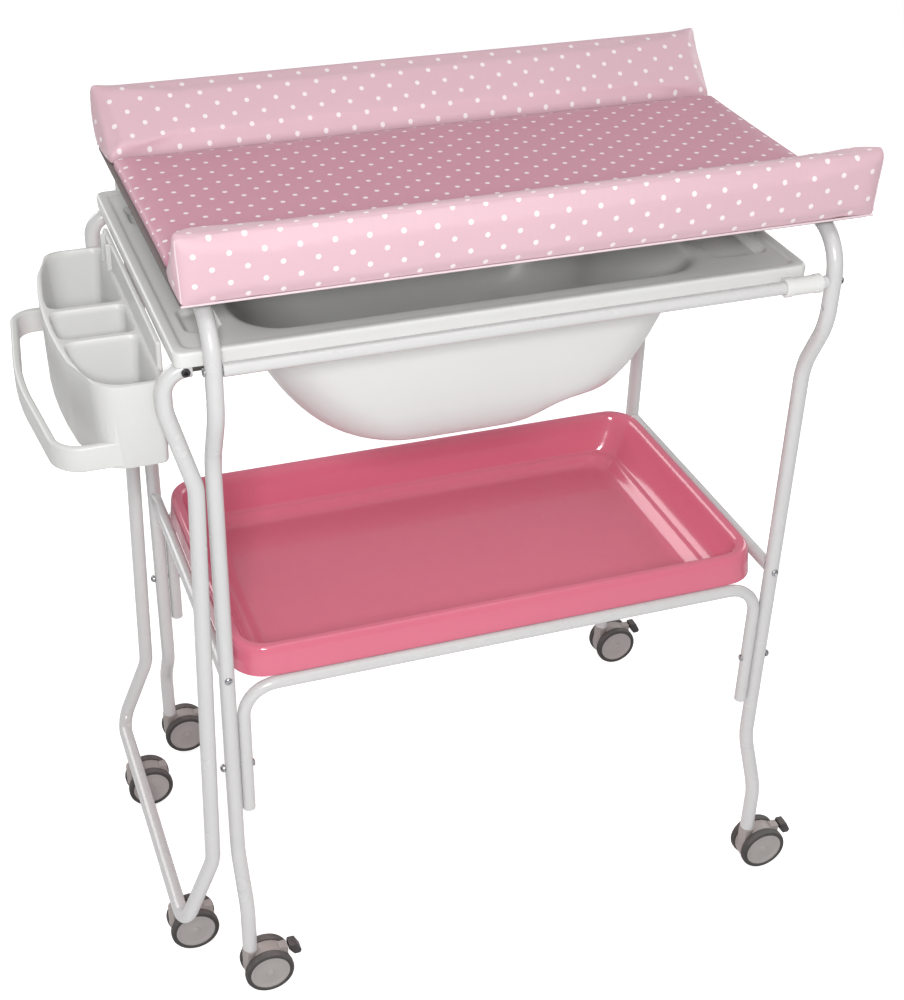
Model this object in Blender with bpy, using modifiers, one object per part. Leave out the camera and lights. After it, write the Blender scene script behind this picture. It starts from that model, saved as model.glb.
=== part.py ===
"""Changing table with a slide-out baby bath, on a white tube frame with six twin-wheel casters.

+X runs along the table to the right, +Y to the back, +Z up; all sizes are in metres.
The main frame is two tubular leg frames joined by rails. The padded changing top lies on
their top bars, and a storage tray lies on the lower rails. The bath hangs on two rods
between the legs. The rods, a wheeled foot loop on the left and two glides on the frame's
rails make a carriage, which rolls out to the left from under the changing top.
"""
import math

import bmesh
import bpy
from mathutils import Matrix, Vector

GAP = 0.0003                      # clearance between pieces that touch

# Main frame: x is measured from the middle between the two leg frames.
LEG_X = 0.361                     # leg frame to the middle
LEG_Y = 0.212                     # straight run of a leg to the middle
LEG_RADIUS = 0.0095
SHOULDER_OUT = 0.034              # how far the shoulders stand out from the straight run
FOOT_OUT = 0.038                  # how far the feet stand out from the straight run
TOP_BAR_Z = 0.964
TOP_BEND = 0.055
SHOULDER_TOP_DROP = 0.114         # shoulder bends, below the top bar
SHOULDER_LOW_DROP = 0.184
SHOULDER_BEND = 0.08
FOOT_BEND_LOW = 0.140
FOOT_BEND_HIGH = 0.203
FOOT_BEND = 0.05
RAIL_DROP = 0.059                 # upper rails, below the top bar
RAIL_RADIUS = 0.0075
SPARE_HOLE_DROP = 0.092
SMALL_TUBE_RADIUS = 0.008         # side bars and tray rails
SIDE_BAR_Z = 0.4834
TRAY_RAIL_Z = 0.4612
TRAY_RAIL_BEND = 0.042
TRAY_RAIL_END_Z = 0.272
TRAY_BOLT_Z = 0.3445

# Fasteners
SCREW_RADIUS = 0.0026
SCREW_HEAD_RADIUS = 0.0048
SCREW_HEAD_HEIGHT = 0.0022
SCREW_GRIP = 0.010                # how far a screw runs into a rail's end
BOLT_RADIUS = 0.003
NUT_RADIUS = 0.0052
NUT_HEIGHT = 0.0055

# Casters
WHEEL_RADIUS = 0.0325
WHEEL_WIDTH = 0.0116
CASTER_TRAIL = 0.0211             # axle behind the swivel axis
WEB_WIDTH = 0.018                 # the housing between the two wheels
AXLE_RADIUS = 0.004
STEM_RADIUS = 0.0105
LEG_BOTTOM_Z = 2 * WHEEL_RADIUS + 0.002
LEVER_HINGE = (WHEEL_RADIUS - 0.003, WHEEL_RADIUS - 0.008)  # from the axle, back and up

# Bath carriage
CARRIAGE_Y = 0.214
CARRIAGE_RADIUS = 0.0095
ROD_RADIUS = 0.0045
ROD_Z_DROP = 0.068                # rods, below the top bar
CARRIAGE_FROM_LEG = 0.017         # the carriage tubes' upper ends, left of the left legs
LOOP_FROM_LEG = 0.076             # foot loop's bar, left of the left legs
LOOP_Z = 0.097
LOOP_JOINT_Z = 0.285
LOOP_CASTER_Y = 0.148
GLIDE_RADIUS = 0.0113
GLIDE_LENGTH = 0.047
GLIDE_FROM_LEG = 0.0075           # free rail between a glide and the right leg

# Bath
FLANGE_Z = TOP_BAR_Z - 0.043
FLANGE_OVERHANG = 0.038           # flange past the left leg frame
FLANGE_SHORT = 0.023              # flange short of the right leg frame
FLANGE_CLEAR = 0.0065             # flange inside the shoulders
FLANGE_LIP = 0.017
BATH_WALL = 0.003
BATH_DEPTH = 0.224
DRAIN_FROM_LEFT = 0.263
DRAIN_RADIUS = 0.008
SPOUT_LENGTH = 0.027

# Accessory box on the bath's left flange
BOX_LENGTH = 0.3665
BOX_FRONT_Y = -0.2015
BOX_DEPTH = 0.078
BOX_BULGE = 0.028
BOX_RIM_Z = FLANGE_Z - 0.043
BOX_HEIGHT = 0.102
BOX_WALL = 0.0028
BOX_PLATE_TOP = FLANGE_Z - 0.0125
HANDLE_REACH = 0.0405
HANDLE_HEIGHT = 0.030
HANDLE_THICKNESS = 0.009

# Tray
TRAY_SHORT = 0.012                # tray's skirt short of the leg frames' centres
TRAY_RIM_HEIGHT = 0.0375
TRAY_DEPTH = 0.067
TRAY_WALL = 0.0028

# Changing top
PAD_LENGTH = 0.800
PAD_WIDTH = 0.480
PAD_OFFSET_X = 0.0076             # the top sits a little to the right of the frame's middle
BOARD_THICKNESS = 0.004
BOARD_INSET = 0.004               # board inside the cover on all sides
MAT_THICKNESS = 0.014
BOLSTER_BASE = 0.084
BOLSTER_HEIGHT = 0.079

SHOULDER_Y = LEG_Y + SHOULDER_OUT
FOOT_Y = LEG_Y + FOOT_OUT
RAIL_Z = TOP_BAR_Z - RAIL_DROP
ROD_Z = TOP_BAR_Z - ROD_Z_DROP
LOOP_X = -LEG_X - LOOP_FROM_LEG
TRAY_RAIL_X = LEG_X - LEG_RADIUS - SMALL_TUBE_RADIUS - GAP


# ---------------------------------------------------------------- scene and materials

for old in list(bpy.data.objects):
    bpy.data.objects.remove(old, do_unlink=True)

table = bpy.data.collections.new("changing_table")
bpy.context.scene.collection.children.link(table)


def material(name, colour, roughness, metallic=0.0):
    made = bpy.data.materials.new(name)
    made.use_nodes = True
    shader = made.node_tree.nodes["Principled BSDF"]
    shader.inputs["Base Color"].default_value = (*colour, 1.0)
    shader.inputs["Roughness"].default_value = roughness
    shader.inputs["Metallic"].default_value = metallic
    made.diffuse_color = (*colour, 1.0)
    return made


WHITE_PAINT = material("white_paint", (0.84, 0.84, 0.83), 0.28)
BATH_PLASTIC = material("bath_plastic", (0.80, 0.80, 0.78), 0.32)
TRAY_PLASTIC = material("tray_plastic", (0.66, 0.12, 0.20), 0.22)
PAD_VINYL = material("pad_vinyl", (0.74, 0.48, 0.55), 0.42)
BOARD_GREY = material("board_grey", (0.16, 0.13, 0.13), 0.7)
HOUSING_GREY = material("housing_grey", (0.56, 0.50, 0.48), 0.45)
TYRE_RUBBER = material("tyre_rubber", (0.035, 0.030, 0.030), 0.6)
LEVER_PLASTIC = material("lever_plastic", (0.030, 0.026, 0.026), 0.5)
ROD_BLACK = material("rod_black", (0.02, 0.02, 0.02), 0.4)
ZINC = material("zinc", (0.45, 0.45, 0.46), 0.35, 1.0)
BLACK_STEEL = material("black_steel", (0.02, 0.02, 0.022), 0.35, 1.0)


# ---------------------------------------------------------------- modelling helpers

def mesh_object(name, bm, finish):
    """A new object in the table's collection from a bmesh."""
    mesh = bpy.data.meshes.new(name)
    bm.to_mesh(mesh)
    bm.free()
    return object_from(name, mesh, finish)


def object_from(name, mesh, finish):
    mesh.materials.clear()
    mesh.materials.append(finish)
    mesh.shade_smooth()
    mesh.set_sharp_from_angle(angle=math.radians(35))
    made = bpy.data.objects.new(name, mesh)
    table.objects.link(made)
    return made


def bake(piece):
    """Apply the piece's modifiers to its mesh."""
    graph = bpy.context.evaluated_depsgraph_get()
    mesh = bpy.data.meshes.new_from_object(piece.evaluated_get(graph))
    piece.modifiers.clear()
    piece.data = mesh


def combine(piece, other, operation):
    """Boolean of a piece with another one, which is used up."""
    step = piece.modifiers.new("combine", "BOOLEAN")
    step.operation = operation
    step.solver = "EXACT"
    step.object = other
    bake(piece)
    bpy.data.objects.remove(other, do_unlink=True)
    bm = bmesh.new()
    bm.from_mesh(piece.data)
    bmesh.ops.triangulate(bm, faces=bm.faces)
    bm.to_mesh(piece.data)
    bm.free()


def fillet_path(corners, radii, arc_step=math.radians(15)):
    """Points along an open path with an arc of its own radius at each inner corner."""
    corners = [Vector(c) for c in corners]
    path = [corners[0]]
    for before, corner, after, radius in zip(corners, corners[1:], corners[2:], radii):
        into = (before - corner).normalized()
        out = (after - corner).normalized()
        turn = math.pi - into.angle(out)
        setback = radius * math.tan(turn / 2)
        start = corner + into * setback
        centre = corner + (into + out).normalized() * radius / math.cos(turn / 2)
        axis = into.cross(out).normalized()
        steps = max(2, math.ceil(turn / arc_step))
        for i in range(steps + 1):
            spin = Matrix.Rotation(-turn * i / steps, 3, axis)
            path.append(centre + spin @ (start - centre))
    path.append(corners[-1])
    return path


def tube(name, path, radius, finish, sides=4):
    """A round rod along a path: a bevelled curve made a mesh, with its caps welded."""
    curve = bpy.data.curves.new(name + "_path", "CURVE")
    curve.dimensions = "3D"
    curve.bevel_depth = radius
    curve.bevel_resolution = sides
    curve.use_fill_caps = True
    spline = curve.splines.new("POLY")
    spline.points.add(len(path) - 1)
    for point, place in zip(spline.points, path):
        point.co = (*place, 1.0)
    guide = bpy.data.objects.new(name + "_path", curve)
    table.objects.link(guide)
    graph = bpy.context.evaluated_depsgraph_get()
    mesh = bpy.data.meshes.new_from_object(guide.evaluated_get(graph))
    bpy.data.objects.remove(guide, do_unlink=True)
    bm = bmesh.new()
    bm.from_mesh(mesh)
    bmesh.ops.remove_doubles(bm, verts=bm.verts, dist=1e-6)
    bmesh.ops.recalc_face_normals(bm, faces=bm.faces)
    return mesh_object(name, bm, finish)


def turned(name, profile, start, direction, finish, steps=12):
    """A turned piece: a profile of (radius, height) spun about a line from start."""
    bm = bmesh.new()
    verts = [bm.verts.new((radius, 0, height)) for radius, height in profile]
    edges = [bm.edges.new(pair) for pair in zip(verts, verts[1:])]
    bmesh.ops.spin(bm, geom=verts + edges, axis=(0, 0, 1), cent=(0, 0, 0),
                   angle=math.tau, steps=steps, use_merge=True)
    bmesh.ops.remove_doubles(bm, verts=bm.verts, dist=1e-6)
    bmesh.ops.recalc_face_normals(bm, faces=bm.faces)
    aim = Vector((0, 0, 1)).rotation_difference(Vector(direction)).to_matrix().to_4x4()
    bmesh.ops.transform(bm, matrix=Matrix.Translation(start) @ aim, verts=bm.verts)
    return mesh_object(name, bm, finish)


def rod(name, radius, start, end, finish, steps=12):
    """A plain cylinder from start to end."""
    reach = Vector(end) - Vector(start)
    profile = [(0, 0), (radius, 0), (radius, reach.length), (0, reach.length)]
    return turned(name, profile, start, reach, finish, steps)


def block(name, low, high, finish, bevel=0.0, segments=2):
    """A box between two opposite corners, with rounded edges."""
    low, high = (Vector(map(pick, low, high)) for pick in (min, max))
    bm = bmesh.new()
    bmesh.ops.create_cube(bm, size=1.0)
    bmesh.ops.scale(bm, vec=high - low, verts=bm.verts)
    bmesh.ops.translate(bm, vec=(low + high) / 2, verts=bm.verts)
    if bevel:
        bmesh.ops.bevel(bm, geom=bm.edges, offset=bevel, segments=segments,
                        profile=0.5, affect="EDGES")
    return mesh_object(name, bm, finish)


def prism(name, outline, finish, along, length):
    """A flat outline extruded along a direction."""
    bm = bmesh.new()
    face = bm.faces.new([bm.verts.new(point) for point in outline])
    grown = bmesh.ops.extrude_face_region(bm, geom=[face])
    moved = [item for item in grown["geom"] if isinstance(item, bmesh.types.BMVert)]
    bmesh.ops.translate(bm, vec=Vector(along) * length, verts=moved)
    bmesh.ops.recalc_face_normals(bm, faces=bm.faces)
    return mesh_object(name, bm, finish)


def drill(piece, start, end, radius):
    """A round hole through a piece."""
    combine(piece, rod("cutter", radius, start, end, ZINC, 8), "DIFFERENCE")


def rounded_outline(corners, radii, z, steps=5):
    """A closed flat outline with an arc at each corner."""
    corners = [Vector((x, y, z)) for x, y in corners]
    points = []
    count = len(corners)
    for i, (corner, radius) in enumerate(zip(corners, radii)):
        into = (corners[i - 1] - corner).normalized()
        out = (corners[(i + 1) % count] - corner).normalized()
        turn = math.pi - into.angle(out)
        start = corner + into * radius * math.tan(turn / 2)
        centre = corner + (into + out).normalized() * radius / math.cos(turn / 2)
        axis = into.cross(out).normalized()
        for k in range(steps + 1):
            spin = Matrix.Rotation(-turn * k / steps, 3, axis)
            points.append(centre + spin @ (start - centre))
    return points


def rounded_rectangle(left, right, half_width, radius, z, steps=5):
    """A rounded rectangle about y = 0, counter-clockwise from above."""
    corners = [(left, -half_width), (right, -half_width), (right, half_width),
               (left, half_width)]
    return rounded_outline(corners, [radius] * 4, z, steps)


def loft(name, rings, finish, cap_first=False):
    """A skin through rings of equal point counts, closed by a face on the last ring."""
    bm = bmesh.new()
    rows = [[bm.verts.new(point) for point in ring] for ring in rings]
    count = len(rings[0])
    for row, following in zip(rows, rows[1:]):
        for i in range(count):
            k = (i + 1) % count
            bm.faces.new((row[i], row[k], following[k], following[i]))
    bm.faces.new(rows[-1])
    if cap_first:
        bm.faces.new(reversed(rows[0]))
    return mesh_object(name, bm, finish)


def thicken(piece, wall):
    """Give an open skin its wall, on the side away from its face normals."""
    shell = piece.modifiers.new("wall", "SOLIDIFY")
    shell.thickness = wall
    shell.offset = -1.0
    shell.use_even_offset = True
    bake(piece)


def screw(name, under_head, direction, length, finish):
    """A pan-head screw: its head sits on under_head, its shank runs along direction."""
    profile = [(0, -SCREW_HEAD_HEIGHT), (SCREW_HEAD_RADIUS * 0.7, -SCREW_HEAD_HEIGHT),
               (SCREW_HEAD_RADIUS, -SCREW_HEAD_HEIGHT * 0.4), (SCREW_HEAD_RADIUS, 0),
               (SCREW_RADIUS, 0), (SCREW_RADIUS, length), (0, length)]
    return turned(name, profile, under_head, direction, finish, 10)


# ---------------------------------------------------------------- main frame

def leg_frame(name, x):
    """One inverted U: foot, lower bend, straight leg, shoulder, top bar, and back down."""
    half = [(FOOT_Y, LEG_BOTTOM_Z), (FOOT_Y, FOOT_BEND_LOW), (LEG_Y, FOOT_BEND_HIGH),
            (LEG_Y, TOP_BAR_Z - SHOULDER_LOW_DROP),
            (SHOULDER_Y, TOP_BAR_Z - SHOULDER_TOP_DROP), (SHOULDER_Y, TOP_BAR_Z)]
    bends = [FOOT_BEND, FOOT_BEND, SHOULDER_BEND, SHOULDER_BEND, TOP_BEND]
    corners = [(x, -y, z) for y, z in half] + [(x, y, z) for y, z in reversed(half)]
    piece = tube(name, fillet_path(corners, bends + bends[::-1]), LEG_RADIUS, WHITE_PAINT)
    reach = Vector((LEG_RADIUS + 0.002, 0, 0))
    for side in (-1, 1):
        rail = Vector((x, side * SHOULDER_Y, RAIL_Z))
        spare = Vector((x, side * SHOULDER_Y, TOP_BAR_Z - SPARE_HOLE_DROP))
        tray_bolt = Vector((x, side * LEG_Y, TRAY_BOLT_Z))
        side_bar = Vector((x, side * LEG_Y, SIDE_BAR_Z))
        drill(piece, rail - reach, rail + reach, SCREW_RADIUS + GAP)
        drill(piece, spare - reach, spare + reach, SCREW_RADIUS + GAP)
        drill(piece, tray_bolt - reach, tray_bolt + reach, BOLT_RADIUS + GAP)
        across = Vector((0, reach.x, 0))
        drill(piece, side_bar - across, side_bar + across, SCREW_RADIUS + GAP)
    return piece


def frame_rail(name, y):
    """An upper rail between the two leg frames, with a screw hole in each end."""
    end = LEG_X - LEG_RADIUS - GAP
    piece = rod(name, RAIL_RADIUS, (-end, y, RAIL_Z), (end, y, RAIL_Z), WHITE_PAINT, 16)
    for side in (-1, 1):
        drill(piece, (side * (end + 0.001), y, RAIL_Z),
              (side * (end - SCREW_GRIP - 0.001), y, RAIL_Z), SCREW_RADIUS + GAP)
    return piece


def side_bar(name, x):
    """A lower bar from the front leg to the back leg, with a screw hole in each end."""
    end = LEG_Y - LEG_RADIUS - GAP
    piece = rod(name, SMALL_TUBE_RADIUS, (x, -end, SIDE_BAR_Z), (x, end, SIDE_BAR_Z),
                WHITE_PAINT, 14)
    for side in (-1, 1):
        drill(piece, (x, side * (end + 0.001), SIDE_BAR_Z),
              (x, side * (end - SCREW_GRIP - 0.001), SIDE_BAR_Z), SCREW_RADIUS + GAP)
    return piece


def tray_rail(name, y):
    """A long rail whose two ends bend down beside the legs and are bolted to them."""
    corners = [(-TRAY_RAIL_X, y, TRAY_RAIL_END_Z), (-TRAY_RAIL_X, y, TRAY_RAIL_Z),
               (TRAY_RAIL_X, y, TRAY_RAIL_Z), (TRAY_RAIL_X, y, TRAY_RAIL_END_Z)]
    piece = tube(name, fillet_path(corners, [TRAY_RAIL_BEND] * 2), SMALL_TUBE_RADIUS,
                 WHITE_PAINT)
    reach = Vector((SMALL_TUBE_RADIUS + 0.002, 0, 0))
    for side in (-1, 1):
        place = Vector((side * TRAY_RAIL_X, y, TRAY_BOLT_Z))
        drill(piece, place - reach, place + reach, BOLT_RADIUS + GAP)
    return piece


def tray_bolt(name, side, y):
    """A bolt through leg and rail, with its pan head on the rail and a domed nut outside."""
    outer = LEG_X + LEG_RADIUS + GAP
    inner = TRAY_RAIL_X - SMALL_TUBE_RADIUS - GAP
    grip = outer - inner
    profile = [(0, -NUT_HEIGHT), (NUT_RADIUS * 0.6, -NUT_HEIGHT * 0.85),
               (NUT_RADIUS, -NUT_HEIGHT * 0.4), (NUT_RADIUS, 0), (BOLT_RADIUS, 0),
               (BOLT_RADIUS, grip), (SCREW_HEAD_RADIUS, grip),
               (SCREW_HEAD_RADIUS * 0.7, grip + SCREW_HEAD_HEIGHT),
               (0, grip + SCREW_HEAD_HEIGHT)]
    return turned(name, profile, (side * outer, y, TRAY_BOLT_Z), (-side, 0, 0), ZINC, 10)


main_frame = [leg_frame("left_leg_frame", -LEG_X), leg_frame("right_leg_frame", LEG_X),
              frame_rail("front_rail", -SHOULDER_Y), frame_rail("rear_rail", SHOULDER_Y),
              side_bar("left_side_bar", -LEG_X), side_bar("right_side_bar", LEG_X),
              tray_rail("front_tray_rail", -LEG_Y), tray_rail("rear_tray_rail", LEG_Y)]

screw_length = 2 * LEG_RADIUS + SCREW_GRIP
head_seat = LEG_RADIUS + GAP
for depth, y_sign in (("front", -1), ("rear", 1)):
    for end, x_sign in (("left", -1), ("right", 1)):
        corner = depth + "_" + end
        main_frame.append(screw("rail_screw_" + corner,
                                (x_sign * (LEG_X + head_seat), y_sign * SHOULDER_Y, RAIL_Z),
                                (-x_sign, 0, 0), screw_length, ZINC))
        main_frame.append(screw("side_bar_screw_" + corner,
                                (x_sign * LEG_X, y_sign * (LEG_Y + head_seat), SIDE_BAR_Z),
                                (0, -y_sign, 0), screw_length, ZINC))
        main_frame.append(tray_bolt("tray_bolt_" + corner, x_sign, y_sign * LEG_Y))


# ---------------------------------------------------------------- storage tray

def storage_tray():
    """A thin moulded tray: skirt, rounded rim, sloping walls and a flat floor."""
    skirt_x = LEG_X - TRAY_SHORT
    skirt_y = LEG_Y - 0.0015
    skirt_z = TRAY_RAIL_Z + SMALL_TUBE_RADIUS + GAP
    rim_z = skirt_z + TRAY_RIM_HEIGHT
    floor_z = rim_z - TRAY_DEPTH
    # inset from the skirt along x and y, height, corner radius
    sections = [(0.000, 0.000, skirt_z, 0.045), (0.002, 0.006, rim_z - 0.005, 0.043),
                (0.0045, 0.0085, rim_z - 0.001, 0.041), (0.008, 0.012, rim_z, 0.038),
                (0.013, 0.017, rim_z, 0.036), (0.018, 0.022, rim_z - 0.004, 0.034),
                (0.046, 0.038, floor_z + 0.012, 0.034), (0.052, 0.043, floor_z + 0.003, 0.030),
                (0.062, 0.052, floor_z, 0.026)]
    rings = [rounded_rectangle(inset_x - skirt_x, skirt_x - inset_x, skirt_y - inset_y,
                               radius, z) for inset_x, inset_y, z, radius in sections]
    piece = loft("storage_tray", rings, TRAY_PLASTIC)
    thicken(piece, TRAY_WALL)
    return piece


tray = storage_tray()


# ---------------------------------------------------------------- changing top

def bolster(name, side):
    """A long wedge: upright outer face, narrow rounded top, sloping inner face."""
    outer = PAD_WIDTH / 2
    low = TOP_BAR_Z + LEG_RADIUS + 2 * GAP + BOARD_THICKNESS
    end = PAD_LENGTH / 2 - 0.002
    section = [(outer, low), (outer, low + BOLSTER_HEIGHT - 0.006),
               (outer - 0.006, low + BOLSTER_HEIGHT),
               (outer - 0.013, low + BOLSTER_HEIGHT - 0.001),
               (outer - BOLSTER_BASE, low + 0.012), (outer - BOLSTER_BASE, low)]
    outline = [(PAD_OFFSET_X - end, side * y, z) for y, z in section]
    return prism(name, outline, PAD_VINYL, (1, 0, 0), 2 * end)


board_z = TOP_BAR_Z + LEG_RADIUS + GAP
mat_z = board_z + BOARD_THICKNESS + GAP
pad_end = PAD_LENGTH / 2
board_end = pad_end - BOARD_INSET
mat_y = PAD_WIDTH / 2 - BOLSTER_BASE - 0.001
changing_top = [
    block("pad_board", (PAD_OFFSET_X - board_end, BOARD_INSET - PAD_WIDTH / 2, board_z),
          (PAD_OFFSET_X + board_end, PAD_WIDTH / 2 - BOARD_INSET, board_z + BOARD_THICKNESS),
          BOARD_GREY, 0.001, 1),
    block("pad_mat", (PAD_OFFSET_X - pad_end + 0.001, -mat_y, mat_z),
          (PAD_OFFSET_X + pad_end - 0.001, mat_y, mat_z + MAT_THICKNESS), PAD_VINYL, 0.005),
    bolster("front_bolster", -1),
    bolster("rear_bolster", 1),
]


# ---------------------------------------------------------------- bath carriage

def carriage_tube(name, side):
    """An upright: a shoulder bent out to the left, then straight down to the foot loop."""
    top_x = -LEG_X - CARRIAGE_FROM_LEG
    foot = loop_leg_at(LOOP_JOINT_Z + GAP)
    corners = [(top_x, ROD_Z), (top_x - 0.031, ROD_Z), (top_x - 0.031, ROD_Z - 0.046),
               (top_x - 0.0035, ROD_Z - 0.146), foot]
    path = [(x, side * CARRIAGE_Y, z) for x, z in corners]
    piece = tube(name, fillet_path(path, [0.027, 0.05, 0.05]), CARRIAGE_RADIUS, WHITE_PAINT)
    bolt_x = top_x - 0.0075
    drill(piece, (bolt_x, side * (CARRIAGE_Y - CARRIAGE_RADIUS - 0.002), ROD_Z),
          (bolt_x, side * (CARRIAGE_Y + CARRIAGE_RADIUS + 0.002), ROD_Z), BOLT_RADIUS + GAP)
    bolt = screw(name.replace("tube", "bolt"),
                 (bolt_x, side * (CARRIAGE_Y + CARRIAGE_RADIUS + GAP), ROD_Z),
                 (0, -side, 0), 2 * CARRIAGE_RADIUS, BLACK_STEEL)
    return [piece, bolt]


def loop_leg_at(z):
    """The (x, z) point of the leaning carriage leg at height z."""
    top_x = -LEG_X - CARRIAGE_FROM_LEG - 0.0035
    top_z = ROD_Z - 0.146
    lean = 0.0225
    return (top_x - lean * (top_z - z), z)


def foot_loop():
    """The lower U: two bent legs joined by a bar along the floor, over two casters."""
    knee = loop_leg_at(LOOP_Z + 0.103)
    joint = loop_leg_at(LOOP_JOINT_Z)
    half = [(*joint, CARRIAGE_Y), (*knee, CARRIAGE_Y), (LOOP_X, LOOP_Z, CARRIAGE_Y)]
    corners = [(x, -y, z) for x, z, y in half] + [(x, y, z) for x, z, y in reversed(half)]
    path = fillet_path(corners, [0.05, 0.028, 0.028, 0.05])
    return tube("foot_loop", path, CARRIAGE_RADIUS, WHITE_PAINT)


def slide_rod(name, side):
    """A thin rod under the bath's flange, from the upright's end into the glide."""
    start = -LEG_X - CARRIAGE_FROM_LEG + GAP
    end = LEG_X - LEG_RADIUS - GLIDE_FROM_LEG - 0.012
    y = side * CARRIAGE_Y
    return rod(name, ROD_RADIUS, (start, y, ROD_Z), (end, y, ROD_Z), ROD_BLACK, 12)


def glide(name, side):
    """A plastic sleeve round the frame's rail, with an arm that holds the rod's end."""
    right = LEG_X - LEG_RADIUS - GLIDE_FROM_LEG
    left = right - GLIDE_LENGTH
    rail_y = side * SHOULDER_Y
    rod_y = side * CARRIAGE_Y
    rod_end = right - 0.012 + GAP
    piece = block(name, (left + 0.008, rail_y - side * 0.0035, ROD_Z - 0.0075),
                  (right - 0.008, rod_y - side * 0.009, ROD_Z + 0.007), BATH_PLASTIC)
    combine(piece, rod("socket", ROD_RADIUS + GAP, (left, rod_y, ROD_Z),
                       (rod_end, rod_y, ROD_Z), ZINC, 12), "DIFFERENCE")
    combine(piece, rod("sleeve", GLIDE_RADIUS, (left, rail_y, RAIL_Z),
                       (right, rail_y, RAIL_Z), BATH_PLASTIC, 16), "UNION")
    combine(piece, rod("bore", RAIL_RADIUS + GAP, (left - 0.01, rail_y, RAIL_Z),
                       (right + 0.01, rail_y, RAIL_Z), ZINC, 16), "DIFFERENCE")
    return piece


def bath_tub():
    """A moulded bath: lip, wide flange, deep round-cornered bowl and a drain spout."""
    left = -LEG_X - FLANGE_OVERHANG
    right = LEG_X - FLANGE_SHORT
    half = SHOULDER_Y - LEG_RADIUS - FLANGE_CLEAR
    top = FLANGE_Z
    floor = FLANGE_Z - BATH_DEPTH
    # inset at the left, at the right and at front and back, height, corner radius
    sections = [(0.001, 0.001, 0.0005, top - FLANGE_LIP, 0.011),
                (0.000, 0.000, 0.000, top - 0.003, 0.012),
                (0.003, 0.003, 0.003, top, 0.010),
                (0.081, 0.106, 0.034, top, 0.060),
                (0.085, 0.110, 0.038, top - 0.004, 0.060),
                (0.100, 0.116, 0.048, floor + 0.191, 0.066),
                (0.118, 0.125, 0.057, floor + 0.146, 0.074),
                (0.143, 0.138, 0.067, floor + 0.099, 0.080),
                (0.170, 0.156, 0.080, floor + 0.059, 0.086),
                (0.197, 0.180, 0.096, floor + 0.028, 0.088),
                (0.224, 0.208, 0.116, floor + 0.009, 0.080),
                (0.250, 0.240, 0.140, floor, 0.062)]
    rings = [rounded_rectangle(left + inset_l, right - inset_r, half - inset_y, radius, z, 6)
             for inset_l, inset_r, inset_y, z, radius in sections]
    piece = loft("bath_tub", rings, BATH_PLASTIC)
    thicken(piece, BATH_WALL)
    rib_top = top - BATH_WALL / 2
    for side in (-1, 1):
        y = side * CARRIAGE_Y
        rib = block("rib", (left + 0.05, y - 0.002, ROD_Z + ROD_RADIUS + GAP),
                    (right - 0.075, y + 0.002, rib_top), BATH_PLASTIC)
        combine(piece, rib, "UNION")
    drain = Vector((left + DRAIN_FROM_LEFT, 0, floor))
    spout = rod("spout", DRAIN_RADIUS + 0.004, drain - Vector((0, 0, SPOUT_LENGTH)),
                drain - Vector((0, 0, BATH_WALL / 2)), BATH_PLASTIC, 14)
    combine(piece, spout, "UNION")
    combine(piece, rod("drain", DRAIN_RADIUS, drain - Vector((0, 0, SPOUT_LENGTH + 0.01)),
                       drain + Vector((0, 0, 0.01)), ZINC, 14), "DIFFERENCE")
    return piece


def drain_plug():
    """A soft plug: a cap on the bath's floor with a grip, and a stopper in the drain."""
    seat = Vector((-LEG_X - FLANGE_OVERHANG + DRAIN_FROM_LEFT, 0,
                   FLANGE_Z - BATH_DEPTH + GAP))
    stopper = DRAIN_RADIUS - GAP
    profile = [(0, 0.014), (0.004, 0.014), (0.004, 0.004), (0.0115, 0.0025), (0.0115, 0),
               (stopper, 0), (stopper, -0.012), (0, -0.012)]
    return turned("drain_plug", profile, seat, (0, 0, 1), BATH_PLASTIC, 14)


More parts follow.
